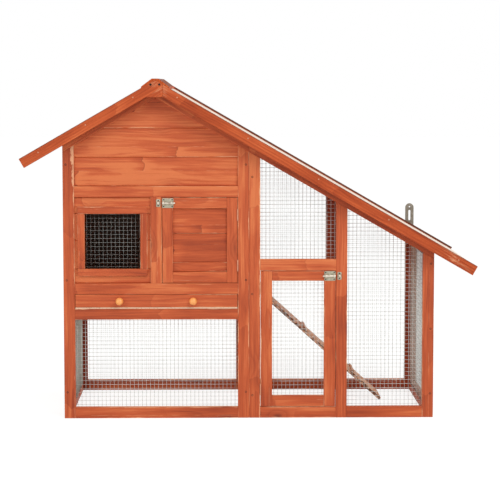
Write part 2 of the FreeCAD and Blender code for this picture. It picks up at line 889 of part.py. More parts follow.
def ramp_bracket_plate(y0):
    y1 = y0 + ramp_bracket
    half = ramp_bracket_side / 2
    plate = box(divider_right, ramp_rod_x + half, y0, y1, ramp_rod_height - half, ramp_rod_height + half)
    return plate.cut(ramp_rod(ramp_rod_radius + ramp_rod_running_gap, y0, y1))


bracket_front = ramp_front - ramp_bracket_gap - ramp_bracket
bracket_rear = ramp_rear + ramp_bracket_gap
ring_rear = ramp_rear - ramp_ring_inset - ramp_ring_width
save("ramp_rings", [ramp_ring(ramp_front + ramp_ring_inset), ramp_ring(ring_rear)])
save("ramp_rod", [ramp_rod(ramp_rod_radius, bracket_front, bracket_rear + ramp_bracket)])
save("ramp_brackets", [ramp_bracket_plate(bracket_front), ramp_bracket_plate(bracket_rear)])

# Nails through the bargeboards into the edges of the roof panels
nail_places = []
for side, half, count in ((-1, left_half, left_nail_count), (1, right_half, right_nail_count)):
    step = (half - nail_end_margin - nail_first) / (count - 1)
    for index in range(count):
        nail_x = ridge_x + side * (nail_first + index * step)
        nail_z = roof_height(nail_x, nail_drop)
        nail_places.append((Vector(nail_x, barge_front_y, nail_z), into_house))
        nail_places.append((Vector(nail_x, barge_rear_y, nail_z), -into_house))
nail_holes = [nail(head, travel, screw_hole_gap) for head, travel in nail_places]
save("bargeboard_nails", [nail(head, travel) for head, travel in nail_places])

# Anchor strap: a rounded steel strip up the back of the rear bargeboard, past the roof's edge
strap_x = right_x - strap_inset
strap_back = barge_rear_y + strap_thickness
strap_top = roof_height(strap_x, 0) + strap_rise
strap_bottom = roof_height(strap_x, rear_barge_width) - strap_tail
strap_screw_middle = roof_height(strap_x, rear_barge_width / 2)
strap_screw_heads = [
    Vector(strap_x, strap_back, strap_screw_middle + side * strap_screw_spacing / 2)
    for side in (-1, 1)
]
strap_holes = [screw(head, -into_house, strap_screw_length, screw_hole_gap) for head in strap_screw_heads]


def strap_bar(width, top, bottom):
    half = width / 2
    bar = box(strap_x - half, strap_x + half, barge_rear_y, strap_back, bottom + half, top - half)
    for level in (bottom + half, top - half):
        bar = bar.fuse(rod(half, Vector(strap_x, barge_rear_y, level), Vector(strap_x, strap_back, level)))
    return bar.removeSplitter()


strap_hole_z = strap_top - strap_hole_drop
slot_middle = strap_top - strap_slot_drop
slot = strap_bar(strap_slot_width, slot_middle + strap_slot_length / 2, slot_middle - strap_slot_length / 2)
hole_front = Vector(strap_x, barge_rear_y, strap_hole_z)
hole = rod(strap_hole_radius, hole_front, Vector(strap_x, strap_back, strap_hole_z))
strap = strap_bar(strap_width, strap_top, strap_bottom).cut(slot).cut(hole)
save("anchor_strap", [drilled(strap, strap_holes)])
strap_screws = [screw(head, -into_house, strap_screw_length) for head in strap_screw_heads]

# Two screws in the apex of the left front bargeboard
apex_screw_z = ridge_height - apex_screw_drop
apex_heads = [
    Vector(ridge_x + side * apex_screw_spread / 2, barge_front_y, apex_screw_z)
    for side in (-1, 1)
]
apex_holes = [screw(head, into_house, apex_screw_length, screw_hole_gap) for head in apex_heads]
apex_screws = [screw(head, into_house, apex_screw_length) for head in apex_heads]
frame_screws = [screw(head, travel) for head, travel in screw_places]
save("screws", frame_screws + strap_screws + apex_screws)

# Roof: panels and felt between the bargeboards, a beam under the ridge and a cap over it. The rear
# bargeboards end level with the top of the cap.
panel_front = barge_front_y + barge_thickness
panel_rear = barge_rear_y - barge_thickness
save("left_roof_panel", [
    drilled(slope_layer(-1, panel_top, panel_bottom, panel_front, panel_rear), nail_holes),
])
save("right_roof_panel", [
    drilled(slope_layer(1, panel_top, panel_bottom, panel_front, panel_rear), nail_holes),
])
save("roof_felt", [slope_layer(side, felt_drop, panel_top, panel_front, panel_rear) for side in (-1, 1)])
cap_top = ridge_height + cap_rise


def left_bargeboard(y0, y1, lip, lower):
    joint_x = ridge_x + barge_joint_offset
    cut_z = ridge_height - barge_apex_cut
    below_cut = roof_height(ridge_x, lower) - cut_z
    outline = [
        slope_end(-1, -lip),
        (ridge_x, roof_height(ridge_x, -lip)),
        (joint_x, roof_height(joint_x, -lip)),
        (joint_x, cut_z),
        (ridge_x - below_cut / math.tan(pitch), cut_z),
        slope_end(-1, lower),
    ]
    return drilled(prism_y(outline, y0, y1), nail_holes + apex_holes)


def right_bargeboard(y0, y1, lip, lower):
    board = slope_layer(1, -lip, lower, y0, y1, barge_joint_offset + joint_gap)
    return drilled(board, nail_holes + strap_holes)


def level_with_cap(board):
    above_apex = roof_height(ridge_x, -rear_lip) + cap_rise
    waste = box(ridge_x - cap_width, ridge_x + cap_width, panel_rear, barge_rear_y, cap_top, above_apex)
    return board.cut(waste)


save("left_front_bargeboard", [left_bargeboard(barge_front_y, panel_front, 0, barge_width)])
save("right_front_bargeboard", [right_bargeboard(barge_front_y, panel_front, 0, barge_width)])
save("rear_bargeboards", [
    level_with_cap(left_bargeboard(panel_rear, barge_rear_y, rear_lip, rear_barge_width)),
    level_with_cap(right_bargeboard(panel_rear, barge_rear_y, rear_lip, rear_barge_width)),
])

beam_half = ridge_beam_width / 2
beam_bottom = roof_height(ridge_x, panel_bottom) - ridge_beam_height
beam_outline = [
    (ridge_x - beam_half, beam_bottom),
    (ridge_x + beam_half, beam_bottom),
    (ridge_x + beam_half, roof_height(ridge_x + beam_half, panel_bottom)),
    (ridge_x, roof_height(ridge_x, panel_bottom)),
    (ridge_x - beam_half, roof_height(ridge_x - beam_half, panel_bottom)),
]
save("ridge_beam", [prism_y(beam_outline, front_inner_y, rear_inner_y)])

# The cap lies on the front bargeboards, and behind them it is thicker and lies on the felt
cap_half = cap_width / 2
cap_left = ridge_x - cap_half
cap_right = ridge_x + cap_half
cap_edge_top = roof_height(cap_right, 0) + cap_edge


def cap_length(underside, y0, y1):
    outline = [
        (cap_left, roof_height(cap_left, underside)),
        (ridge_x, roof_height(ridge_x, underside)),
        (cap_right, roof_height(cap_right, underside)),
        (cap_right, cap_edge_top),
        (ridge_x + cap_flat / 2, cap_top),
        (ridge_x - cap_flat / 2, cap_top),
        (cap_left, cap_edge_top),
    ]
    return prism_y(outline, y0, y1)


cap_over_boards = cap_length(0, barge_front_y, panel_front)
cap_over_felt = cap_length(felt_drop, panel_front, panel_rear)
save("ridge_cap", [cap_over_boards.fuse(cap_over_felt).removeSplitter()])
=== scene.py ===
import json
import math
import random

import bmesh
import bpy
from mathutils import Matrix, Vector


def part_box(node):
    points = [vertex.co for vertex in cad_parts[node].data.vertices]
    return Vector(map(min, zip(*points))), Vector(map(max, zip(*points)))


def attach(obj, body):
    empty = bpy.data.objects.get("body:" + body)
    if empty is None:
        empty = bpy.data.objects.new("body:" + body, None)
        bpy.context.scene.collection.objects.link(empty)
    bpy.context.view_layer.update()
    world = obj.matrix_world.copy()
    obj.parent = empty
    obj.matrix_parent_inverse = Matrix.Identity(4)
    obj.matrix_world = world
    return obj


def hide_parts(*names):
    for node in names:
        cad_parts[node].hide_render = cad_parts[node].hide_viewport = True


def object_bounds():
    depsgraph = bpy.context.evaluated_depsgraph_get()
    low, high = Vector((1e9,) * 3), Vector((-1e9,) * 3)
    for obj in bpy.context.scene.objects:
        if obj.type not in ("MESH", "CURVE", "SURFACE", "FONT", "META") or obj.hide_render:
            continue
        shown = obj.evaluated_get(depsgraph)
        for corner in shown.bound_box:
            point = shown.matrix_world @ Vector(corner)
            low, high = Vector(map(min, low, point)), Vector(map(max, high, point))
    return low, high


# Rabbit hutch in stained fir: a gabled house, a wire run beside it, one long roof over both
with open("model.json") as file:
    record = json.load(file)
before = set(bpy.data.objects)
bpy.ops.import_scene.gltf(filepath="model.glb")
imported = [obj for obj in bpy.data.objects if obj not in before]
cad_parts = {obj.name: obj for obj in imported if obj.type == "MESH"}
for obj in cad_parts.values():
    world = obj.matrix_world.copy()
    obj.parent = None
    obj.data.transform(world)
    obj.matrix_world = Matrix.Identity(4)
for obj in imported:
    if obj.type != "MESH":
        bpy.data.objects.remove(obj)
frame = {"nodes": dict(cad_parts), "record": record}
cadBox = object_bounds()
nodes = frame["nodes"]
record = frame["record"]
bodyOf = {node: body for body, group in record["behaviour"]["bodies"].items() for node in group}
slotOf = {part["node"]: part["material_slot"] for part in record["subparts"]}
scene = bpy.context.scene
mm = 0.001
print("frame loaded:", len(nodes), "nodes")


# an sRGB hex value as linear colour
def linear(code):
    channels = [int(code[i:i + 2], 16) / 255 for i in (1, 3, 5)]
    return tuple(c / 12.92 if c <= 0.04045 else ((c + 0.055) / 1.055) ** 2.4 for c in channels) + (1.0,)


# an input is a value, a socket to link from, or a node, which is linked from its first output in use
def addNode(tree, kind, inputs=None, **settings):
    node = tree.nodes.new("ShaderNode" + kind)
    for name, value in settings.items():
        setattr(node, name, value)
    for key, value in (inputs or {}).items():
        if isinstance(value, bpy.types.Node):
            value = next(output for output in value.outputs if output.enabled)
        if isinstance(value, bpy.types.NodeSocket):
            tree.links.new(value, node.inputs[key])
        else:
            node.inputs[key].default_value = value
    return node


def newMaterial(name):
    material = bpy.data.materials.new(name)
    material.use_nodes = True
    tree = material.node_tree
    tree.nodes.clear()
    return material, tree


# texture scales for sizes in mm
def perMetre(along, across):
    return (1000 / along, 1000 / across, 1000 / across)


def waveScale(spacing):
    return 2 * math.pi * 1000 / 20 / spacing  # Blender's wave turns 20 radians in a unit


def setRamp(node, stops):
    ramp = node.color_ramp
    while len(ramp.elements) < len(stops):
        ramp.elements.new(1.0)
    for element, (place, code) in zip(ramp.elements, stops):
        element.position = place
        element.color = linear(code)


# Fir, planed and dipped in red-brown stain: the stain sits deeper in the soft early wood, so the
# eye gets long pale and dark streaks, a few knots, finger-jointed lengths, pale glue lines and
# bare ragged wood along some arrises. Sizes are in mm, and a pair of levels says where a pattern
# starts to show and where it shows fully
firLook = {
    "ramp": [(0.0, "#7E2B0E"), (0.25, "#993B15"), (0.5, "#AE491F"), (0.75, "#C0572A"), (1.0, "#D2713F")],
    "knot": "#6B2A14",
    "joint": "#8B3B1C",
    "glue": "#DF9A70",
    "bare": "#E8AC82",
    "insideShadeColour": "#7C6A5A",     # painted shade: a dark grey-brown for the house's unlit inner faces
    "insideShadeTones": (-0.45, -0.55),
    "insideShade": 0.85,
    # noises: size along and across the grain, detail, roughness
    "jointSweep": (6480, 34, 2, 0.5),
    "edgeRun": (60, 9, 3, 0.7),
    "edgePatch": (230, 120, 1, 0.5),
    "wander": (420, 70, 2, 0.5),
    "streak": (520, 17, 3, 0.6),
    "blotch": (240, 75, 2, 0.5),
    "fibre": (110, 4, 3, 0.65),  # real fibres are finer, drawn coarse so that they show
    "bend": 22,                  # how far the trunk's wander pushes the grain aside
    # how much each pattern lightens the stain, and the level they start from
    "lightens": {"streak": 0.9, "fibre": 0.9, "blotch": 0.95, "late": -0.16, "length": 0.24},
    "start": -0.86,
    "ring": 8,                   # real rings are 3 mm, drawn wider so that they show
    "lateWood": (0.35, 0.95),    # shares of a ring
    "swell": 16,                 # how far the rings swell round a knot
    "knotRoom": (190, 95),       # one chance of a knot in each patch of this size
    "knotShare": 0.28,
    "knotRandom": 0.9,
    "knotReach": [(0.34, 0.02), (0.12, 0.05)],  # halo and core, in shares of the patch
    "halo": 0.4,
    "jointLength": 540,          # between finger joints
    "jointReach": 70,            # the joints run in soft curves, so far along the stick
    "jointShade": 44,            # on each side of a joint, where the stain runs thin or gathers
    "thin": 0.47,
    "gathered": 0.53,
    "jointLine": (1.8, 0.54),    # a real joint is a hair line, drawn wider so that it shows
    "jointedWidth": (36, 84),    # narrow sticks come from clear lengths, so their joints show less
    "jointShows": (0.2, 0.6),
    "strip": 62,                 # width of the glued strips
    "stripShift": 0.37,          # of a length, so that joints don't line up
    "glueLine": 2.2,             # drawn wider than a real glue line
    "glueTear": (0.5, 0.62),
    "glueShows": 0.7,
    "edgeWear": 8.0,             # in from the arris, at most
    "edgeTear": (0.35, 0.65),
    "edgeWhere": (0.46, 0.64),
    "edgeMore": 0.06,            # a more worn stick has more worn patches too
    "edgeFade": 1.5,
    "edgeBare": 0.8,
    # painted shade: a grey-brown laid on chosen faces of the roof boards above the felt
    "weather": "#4A3528",
    "weatherFaces": [],
    "weathered": 0.85,
    "clearOfRidge": 46,           # from the ridge, where no painted shade is drawn
    "topShadeLevel": (-4, 1),        # from the line of the boards' top edges
    "facing": (0.5, 0.9),
    "facingTear": 0.4,
    "lateRelief": 0.35,
    "relief": 0.6,
    "fibreRange": (0.3, 0.7),
    "roughness": (0.52, 0.7),
    "gloss": 0.5,
}
# the same boards on the roof: their top edges, and the lip standing above the felt, carry painted shade in
# grey-brown
roofLook = dict(firLook, gloss=0.3, knotShare=0.1, weatherFaces=[(0, 0, 1), (0, -1, 0)])
# the ridge cap: matt, with painted shade in a duller brown on top
capLook = dict(firLook, gloss=0.1, weather="#6E3822", weatherFaces=[(0, 0, 1)], clearOfRidge=0)
ridge = {
    "x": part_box("ridge_cap")[0].lerp(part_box("ridge_cap")[1], 0.5).x,
    "z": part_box("left_front_bargeboard")[1].z,
    "slope": math.tan(math.radians(30)),
}
stickFacts = ("Tone", "Side", "Wide", "Wear")  # what each stick tells its material about itself


def stainedFir(name, look):
    material, tree = newMaterial(name)
    grain = addNode(tree, "Attribute", attribute_name="grain").outputs["Vector"]
    place = addNode(tree, "SeparateXYZ", {0: grain}).outputs
    facts = [addNode(tree, "Attribute", attribute_name="stick" + fact).outputs["Fac"] for fact in stickFacts]
    tone, side, wide, wear = facts

    # noises stretched along the grain; the wander bends the grain of those after it, as no trunk is straight
    noise = {}
    bent = grain
    push = (0.0, look["bend"] * mm, look["bend"] * mm)
    for pattern in ("jointSweep", "edgeRun", "edgePatch", "wander", "streak", "blotch", "fibre"):
        along, across, detail, roughness = look[pattern]
        stretched = addNode(tree, "VectorMath", {0: bent, 1: perMetre(along, across)}, operation="MULTIPLY")
        noise[pattern] = addNode(tree, "TexNoise", {
            "Vector": stretched, "Scale": 1.0, "Detail": detail, "Roughness": roughness})
        if pattern == "wander":
            aside = addNode(tree, "VectorMath", {0: noise[pattern].outputs["Color"], 1: (0.5, 0.5, 0.5)},
                            operation="SUBTRACT")
            bent = addNode(tree, "VectorMath", {0: aside, 1: push, 2: grain}, operation="MULTIPLY_ADD")
    fibre = noise["fibre"]
    ragged = noise["edgeRun"]  # breaks up the glue lines and the worn arrises

    # knots, one in some of the patches
    patches = addNode(tree, "VectorMath", {0: bent, 1: perMetre(*look["knotRoom"])}, operation="MULTIPLY")
    knots = addNode(tree, "TexVoronoi", {"Vector": patches, "Scale": 1.0, "Randomness": look["knotRandom"]})
    chance = addNode(tree, "SeparateColor", {0: knots.outputs["Color"]})
    chosen = addNode(tree, "Math", {0: chance, 1: look["knotShare"]}, operation="LESS_THAN")
    knotNear, knotCore = [
        addNode(tree, "MapRange", {0: knots, 1: far, 2: near, 4: chosen}, interpolation_type="SMOOTHSTEP")
        for far, near in look["knotReach"]]
    halo = addNode(tree, "Math", {0: knotNear, 1: look["halo"]}, operation="MULTIPLY")

    # growth rings round the trunk's middle, swollen round each knot
    flat = addNode(tree, "VectorMath", {0: bent, 1: (0.0, 1.0, 1.0)}, operation="MULTIPLY")
    radius = addNode(tree, "VectorMath", {0: flat}, operation="LENGTH")
    swollen = addNode(tree, "Math", {0: knotNear, 1: look["swell"] * mm, 2: radius}, operation="MULTIPLY_ADD")
    turns = addNode(tree, "Math", {0: swollen, 1: look["ring"] * mm}, operation="DIVIDE")
    ring = addNode(tree, "Math", {0: turns}, operation="FRACT")
    starts, full = look["lateWood"]
    late = addNode(tree, "MapRange", {0: ring, 1: starts, 2: full}, interpolation_type="SMOOTHSTEP")

    # finger joints: each length and each glued strip took the stain a little differently
    reach = addNode(tree, "Math", {0: noise["jointSweep"], 1: look["jointReach"] * mm, 2: place[0]},
                    operation="MULTIPLY_ADD")
    lengths = addNode(tree, "Math", {0: reach, 1: look["jointLength"] * mm}, operation="DIVIDE")
    strips = addNode(tree, "Math", {0: place[1], 1: look["strip"] * mm}, operation="DIVIDE")
    strip = addNode(tree, "Math", {0: strips}, operation="FLOOR")
    shifted = addNode(tree, "Math", {0: strip, 1: look["stripShift"], 2: lengths}, operation="MULTIPLY_ADD")
    length = addNode(tree, "Math", {0: shifted}, operation="FLOOR")
    piece = addNode(tree, "CombineXYZ", {0: length, 1: strip, 2: tone})
    pieceTone = addNode(tree, "TexWhiteNoise", {"Vector": piece}, noise_dimensions="3D")
    along = addNode(tree, "Math", {0: shifted}, operation="FRACT")
    shaded = look["jointShade"] / look["jointLength"]
    thin = addNode(tree, "MapRange", {0: along, 1: shaded, 2: 0.0, 4: look["thin"]})
    gathered = addNode(tree, "MapRange", {0: along, 1: 1 - shaded, 2: 1.0, 4: look["gathered"]})
    uneven = addNode(tree, "Math", {0: thin, 1: gathered}, operation="SUBTRACT")
    narrow, broad = [width / 2 * mm for width in look["jointedWidth"]]
    least, most = look["jointShows"]
    jointShows = addNode(tree, "MapRange", {0: wide, 1: narrow, 2: broad, 3: least, 4: most})
    toJoint = addNode(tree, "Math", {0: shifted, 1: 0.5}, operation="PINGPONG")
    outer, inner = [width / look["jointLength"] for width in look["jointLine"]]
    joint = addNode(tree, "MapRange", {0: toJoint, 1: outer, 2: inner, 4: jointShows})

    toGlue = addNode(tree, "Math", {0: place[1], 1: look["strip"] / 2 * mm}, operation="PINGPONG")
    starts, full = look["glueTear"]
    torn = addNode(tree, "MapRange", {0: ragged, 1: starts, 2: full, 4: look["glueShows"]})
    glue = addNode(tree, "MapRange", {0: toGlue, 1: look["glueLine"] / 2 * mm, 2: 0.0, 4: torn})

    patterns = dict(noise, late=late, length=pieceTone)
    shade = look["start"]
    for pattern, weight in look["lightens"].items():
        shade = addNode(tree, "Math", {0: patterns[pattern], 1: weight, 2: shade}, operation="MULTIPLY_ADD")
    shade = addNode(tree, "Math", {0: uneven, 1: jointShows, 2: shade}, operation="MULTIPLY_ADD")
    shade = addNode(tree, "Math", {0: tone, 1: shade}, operation="ADD")
    wood = addNode(tree, "ValToRGB", {0: shade})
    setRamp(wood, look["ramp"])

    # painted shade: where a stick's tone was pushed down for the unlit inside, a dark grey-brown is mixed in
    starts, full = look["insideShadeTones"]
    insideShade = addNode(tree, "MapRange", {0: tone, 1: starts, 2: full, 4: look["insideShade"]})

    # bare pale wood where an arris was left rough and the stain rubbed off
    inward = addNode(tree, "Math", {0: side}, operation="ABSOLUTE")
    inward = addNode(tree, "Math", {0: 1.0, 1: inward}, operation="SUBTRACT")
    inward = addNode(tree, "Math", {0: inward, 1: wide}, operation="MULTIPLY")
    where = addNode(tree, "Math", {0: wear, 1: look["edgeMore"], 2: noise["edgePatch"]},
                    operation="MULTIPLY_ADD")
    starts, full = look["edgeWhere"]
    where = addNode(tree, "MapRange", {0: where, 1: starts, 2: full})
    starts, full = look["edgeTear"]
    depth = addNode(tree, "MapRange", {0: ragged, 1: starts, 2: full, 4: look["edgeWear"] * mm})
    for share in (where, wear):
        depth = addNode(tree, "Math", {0: depth, 1: share}, operation="MULTIPLY")
    left = addNode(tree, "Math", {0: depth, 1: inward}, operation="SUBTRACT")
    bare = addNode(tree, "MapRange", {0: left, 2: look["edgeFade"] * mm, 4: look["edgeBare"]})
    layers = [(halo, look["ramp"][0][1]), (glue, look["glue"]), (joint, look["joint"]),
              (knotCore, look["knot"]), (insideShade, look["insideShadeColour"]), (bare, look["bare"])]

    # painted shade only above the felt's own level and away from the ridge, on faces turned to the chosen
    # sides
    for face in look["weatherFaces"]:
        here = addNode(tree, "NewGeometry").outputs
        spot = addNode(tree, "SeparateXYZ", {0: here["Position"]}).outputs
        fromRidge = addNode(tree, "Math", {0: spot[0], 1: ridge["x"]}, operation="SUBTRACT")
        fromRidge = addNode(tree, "Math", {0: fromRidge}, operation="ABSOLUTE")
        level = addNode(tree, "Math", {0: fromRidge, 1: ridge["slope"], 2: spot[2]}, operation="MULTIPLY_ADD")
        outside = addNode(tree, "Math", {0: fromRidge, 1: look["clearOfRidge"] * mm}, operation="GREATER_THAN")
        outside = addNode(tree, "Math", {0: outside, 1: look["weathered"]}, operation="MULTIPLY")
        starts, full = [ridge["z"] + height * mm for height in look["topShadeLevel"]]
        topShadeArea = addNode(tree, "MapRange", {0: level, 1: starts, 2: full, 4: outside})
        turned = addNode(tree, "VectorMath", {0: here["Normal"], 1: face}, operation="DOT_PRODUCT")
        turned = addNode(tree, "Math", {0: fibre, 1: look["facingTear"], 2: turned}, operation="MULTIPLY_ADD")
        starts, full = look["facing"]
        layers.append((addNode(tree, "MapRange", {0: turned, 1: starts, 2: full, 4: topShadeArea}), look["weather"]))

    for share, code in layers:
        wood = addNode(tree, "Mix", {0: share, 6: wood, 7: linear(code)}, data_type="RGBA")
    relief = addNode(tree, "Math", {0: late, 1: look["lateRelief"], 2: fibre}, operation="MULTIPLY_ADD")
    bump = addNode(tree, "Bump", {"Strength": 0.4, "Distance": look["relief"] * mm, "Height": relief})
    low, high = look["fibreRange"]
    smooth, rough = look["roughness"]
    roughness = addNode(tree, "MapRange", {0: fibre, 1: low, 2: high, 3: smooth, 4: rough})
    shader = addNode(tree, "BsdfPrincipled", {
        "Base Color": wood, "Roughness": roughness, "Normal": bump, "IOR": 1.45,
        "Specular IOR Level": look["gloss"]})
    addNode(tree, "OutputMaterial", {0: shader})
    return material


fir = stainedFir("fir_planed_and_stained", firLook)
roofFir = stainedFir("fir_stained_and_weathered", roofLook)
capFir = stainedFir("fir_stained_and_weathered_on_top", capLook)


# Fir left rough from the saw: pale, furry faces with short dark flecks where the blade tore it, and more dark
# flecks on the faces turned front and back, as painted shade of the board's edges. The saw's ripple is drawn
# coarse so that it shows
roughLook = {
    "pale": "#FFD3B0", "mid": "#E3A57C", "fleck": "#5E3722", "fleckSize": (16, 5), "sawRipple": 56.55,  # mm
    "flecked": (0.46, 0.36), "edgeShade": 0.11, "fleckDark": 0.9, "relief": 0.8, "roughness": (0.75, 0.9),
}
# Poplar plywood, sanded and bare, for the tray's thin sheet: pale and fine-lined
plyLook = dict(roughLook, pale="#E9CBB0", mid="#D9AF8E", fleck="#A87C5C", fleckSize=(120, 5),
               sawRipple=188.5, flecked=(0.41, 0.31), edgeShade=0)


def roughFir(name, look):
    material, tree = newMaterial(name)
    grain = addNode(tree, "Attribute", attribute_name="grain").outputs["Vector"]
    stretched = addNode(tree, "VectorMath", {0: grain, 1: perMetre(*look["fleckSize"])}, operation="MULTIPLY")
    flecks = addNode(tree, "TexNoise", {"Vector": stretched, "Scale": 1.0, "Detail": 3.0, "Roughness": 0.6})
    ripple = waveScale(look["sawRipple"])
    saw = addNode(tree, "TexWave", {"Vector": grain, "Scale": ripple, "Distortion": 3.0}).outputs["Fac"]
    body = addNode(tree, "Mix", {0: flecks, 6: linear(look["mid"]), 7: linear(look["pale"])},
                   data_type="RGBA")
    # painted shade: faces turned to the front and back fleck darker
    facing = addNode(tree, "NewGeometry").outputs["Normal"]
    facing = addNode(tree, "SeparateXYZ", {0: facing}).outputs["Y"]
    facing = addNode(tree, "Math", {0: facing}, operation="ABSOLUTE")
    level = addNode(tree, "Math", {0: facing, 1: -look["edgeShade"], 2: flecks}, operation="MULTIPLY_ADD")
    starts, full = look["flecked"]
    dark = addNode(tree, "MapRange", {0: level, 1: starts, 2: full, 4: look["fleckDark"]})
    colour = addNode(tree, "Mix", {0: dark, 6: body, 7: linear(look["fleck"])}, data_type="RGBA")
    relief = addNode(tree, "Math", {0: flecks, 1: saw}, operation="ADD")
    bump = addNode(tree, "Bump", {"Strength": 0.5, "Distance": look["relief"] * mm, "Height": relief})
    smooth, rough = look["roughness"]
    roughness = addNode(tree, "MapRange", {0: flecks, 3: smooth, 4: rough})
    shader = addNode(tree, "BsdfPrincipled", {
        "Base Color": colour, "Roughness": roughness, "Normal": bump, "IOR": 1.45})
    addNode(tree, "OutputMaterial", {0: shader})
    return material


rampFir = roughFir("fir_rough_sawn", roughLook)
ply = roughFir("poplar_plywood_sanded", plyLook)


# Beech, turned and varnished: even orange wood under a clear gloss, with faint end rings, which are
# drawn wider than the real 2 mm so that they show
beechLook = {"pale": "#F9AA5C", "dark": "#E98C3E", "ring": 10.05, "cloud": 11, "relief": 0.2,  # mm
             "roughness": (0.32, 0.45)}


def turnedBeech(name, look):
    material, tree = newMaterial(name)
    place = addNode(tree, "TexCoord").outputs["Object"]
    wander = addNode(tree, "TexNoise", {"Vector": place, "Scale": 1000 / look["cloud"], "Detail": 2.0})
    rings = addNode(tree, "TexWave", {
        "Vector": place, "Scale": waveScale(look["ring"]), "Distortion": 4.0, "Detail": 2.0},
        bands_direction="X").outputs["Fac"]
    blend = addNode(tree, "Math", {0: rings, 1: wander}, operation="MULTIPLY")
    colour = addNode(tree, "Mix", {0: blend, 6: linear(look["pale"]), 7: linear(look["dark"])},
                     data_type="RGBA")
    bump = addNode(tree, "Bump", {"Strength": 0.1, "Distance": look["relief"] * mm, "Height": rings})
    smooth, rough = look["roughness"]
    roughness = addNode(tree, "MapRange", {0: wander, 3: smooth, 4: rough})
    shader = addNode(tree, "BsdfPrincipled", {
        "Base Color": colour, "Roughness": roughness, "Normal": bump, "IOR": 1.5,
        "Coat Weight": 0.25, "Coat Roughness": 0.25})
    addNode(tree, "OutputMaterial", {0: shader})
    return material


beech = turnedBeech("beech_turned_and_varnished", beechLook)


# Steel with a skin on it: the cloudy flakes that hot zinc leaves, or a duller plating. Flakes are in mm,
# and the clouds over them are a few flakes wide
steelSkin = {"cloudFlakes": 10 / 3, "cloudShare": 0.55, "cloudRange": (0.3, 0.7), "relief": 0.1}
# new galvanised wire: pale grey with a soft shine
wireLook = {"pale": "#E0E2DE", "dark": "#C3C6C1", "flake": 14.0, "rough": (0.38, 0.55), "metallic": 0.25}
# galvanised wire drawn darker and greenish grey, as painted shade on the end meshes, which stand in the shade
# of the house and roof
shadedWireLook = {"pale": "#BBC0B5", "dark": "#92978E", "flake": 14.0, "rough": (0.5, 0.7), "metallic": 0.25}
# zinc plate with a warm tint, blotched with grey
plateLook = {"pale": "#CCC6B0", "dark": "#857D69", "flake": 7.0, "rough": (0.34, 0.55), "metallic": 0.7}
# zinc on the rod, its knob and the saddles, drawn palest as painted highlight, with the sharpest shine
highlightZincLook = {"pale": "#E9E3D4", "dark": "#BDB4A1", "flake": 5.0, "rough": (0.26, 0.42), "metallic": 0.7}
# weathered strip: matt grey-brown
strapLook = {"pale": "#9A9388", "dark": "#6F675C", "flake": 11.0, "rough": (0.45, 0.65), "metallic": 0.6}
# nails and hinges under a thin coat of stain: pink, nearly matt
nailLook = {"pale": "#DCA484", "dark": "#B98060", "flake": 3.0, "rough": (0.45, 0.6), "metallic": 0.3}
hingeLook = {"pale": "#DFA486", "dark": "#BE7F60", "flake": 6.0, "rough": (0.45, 0.6), "metallic": 0.3}
# phosphated screws: matt black with a brown cast, drawn near-black so that the heads also stand in for the
# shade round them
blackLook = {"pale": "#1E120C", "dark": "#0F0906", "flake": 2.0, "rough": (0.6, 0.8), "metallic": 0.2}


def coatedSteel(name, look):
    material, tree = newMaterial(name)
    place = addNode(tree, "TexCoord").outputs["Object"]
    flakes = addNode(tree, "TexVoronoi", {"Vector": place, "Scale": 1000 / look["flake"]})
    clouds = 1000 / (look["flake"] * steelSkin["cloudFlakes"])
    cloud = addNode(tree, "TexNoise", {"Vector": place, "Scale": clouds, "Detail": 3.0})
    flake = addNode(tree, "SeparateColor", {0: flakes.outputs["Color"]})
    blend = addNode(tree, "Mix", {0: steelSkin["cloudShare"], 2: flake, 3: cloud})
    colour = addNode(tree, "Mix", {0: blend, 6: linear(look["dark"]), 7: linear(look["pale"])},
                     data_type="RGBA")
    low, high = steelSkin["cloudRange"]
    smooth, rough = look["rough"]
    roughness = addNode(tree, "MapRange", {0: cloud, 1: low, 2: high, 3: smooth, 4: rough})
    bump = addNode(tree, "Bump", {"Strength": 0.12, "Distance": steelSkin["relief"] * mm, "Height": cloud})
    shader = addNode(tree, "BsdfPrincipled", {
        "Base Color": colour, "Metallic": look["metallic"], "Roughness": roughness, "Normal": bump})
    addNode(tree, "OutputMaterial", {0: shader})
    return material


zincWire = coatedSteel("steel_wire_hot_galvanised", wireLook)
shadedWire = coatedSteel("steel_wire_galvanised_with_painted_shade", shadedWireLook)
zincPlate = coatedSteel("steel_pressed_and_zinc_plated", plateLook)
highlightZinc = coatedSteel("steel_zinc_plated_with_painted_highlight", highlightZincLook)
strapSteel = coatedSteel("steel_strip_weathered_zinc", strapLook)
nailSteel = coatedSteel("steel_nail_wiped_with_stain", nailLook)
hingeSteel = coatedSteel("steel_hinge_brushed_over_with_stain", hingeLook)
blackSteel = coatedSteel("steel_screw_black_phosphate_and_painted_shade", blackLook)


# Bitumen felt rolled in pale mineral chips: matt, sandy, with darker bitumen between the chips, which
# are drawn a little large
feltLook = {"chips": [(0.0, "#F8EADD"), (0.5, "#F0DDCD"), (1.0, "#E2CDBB")], "bitumen": "#AD9A88",
            "chipSize": 3.2, "worn": 110, "relief": 0.6,  # mm
            "gap": (0.45, 0.75), "gapShows": 0.5, "roughness": (0.8, 0.95)}


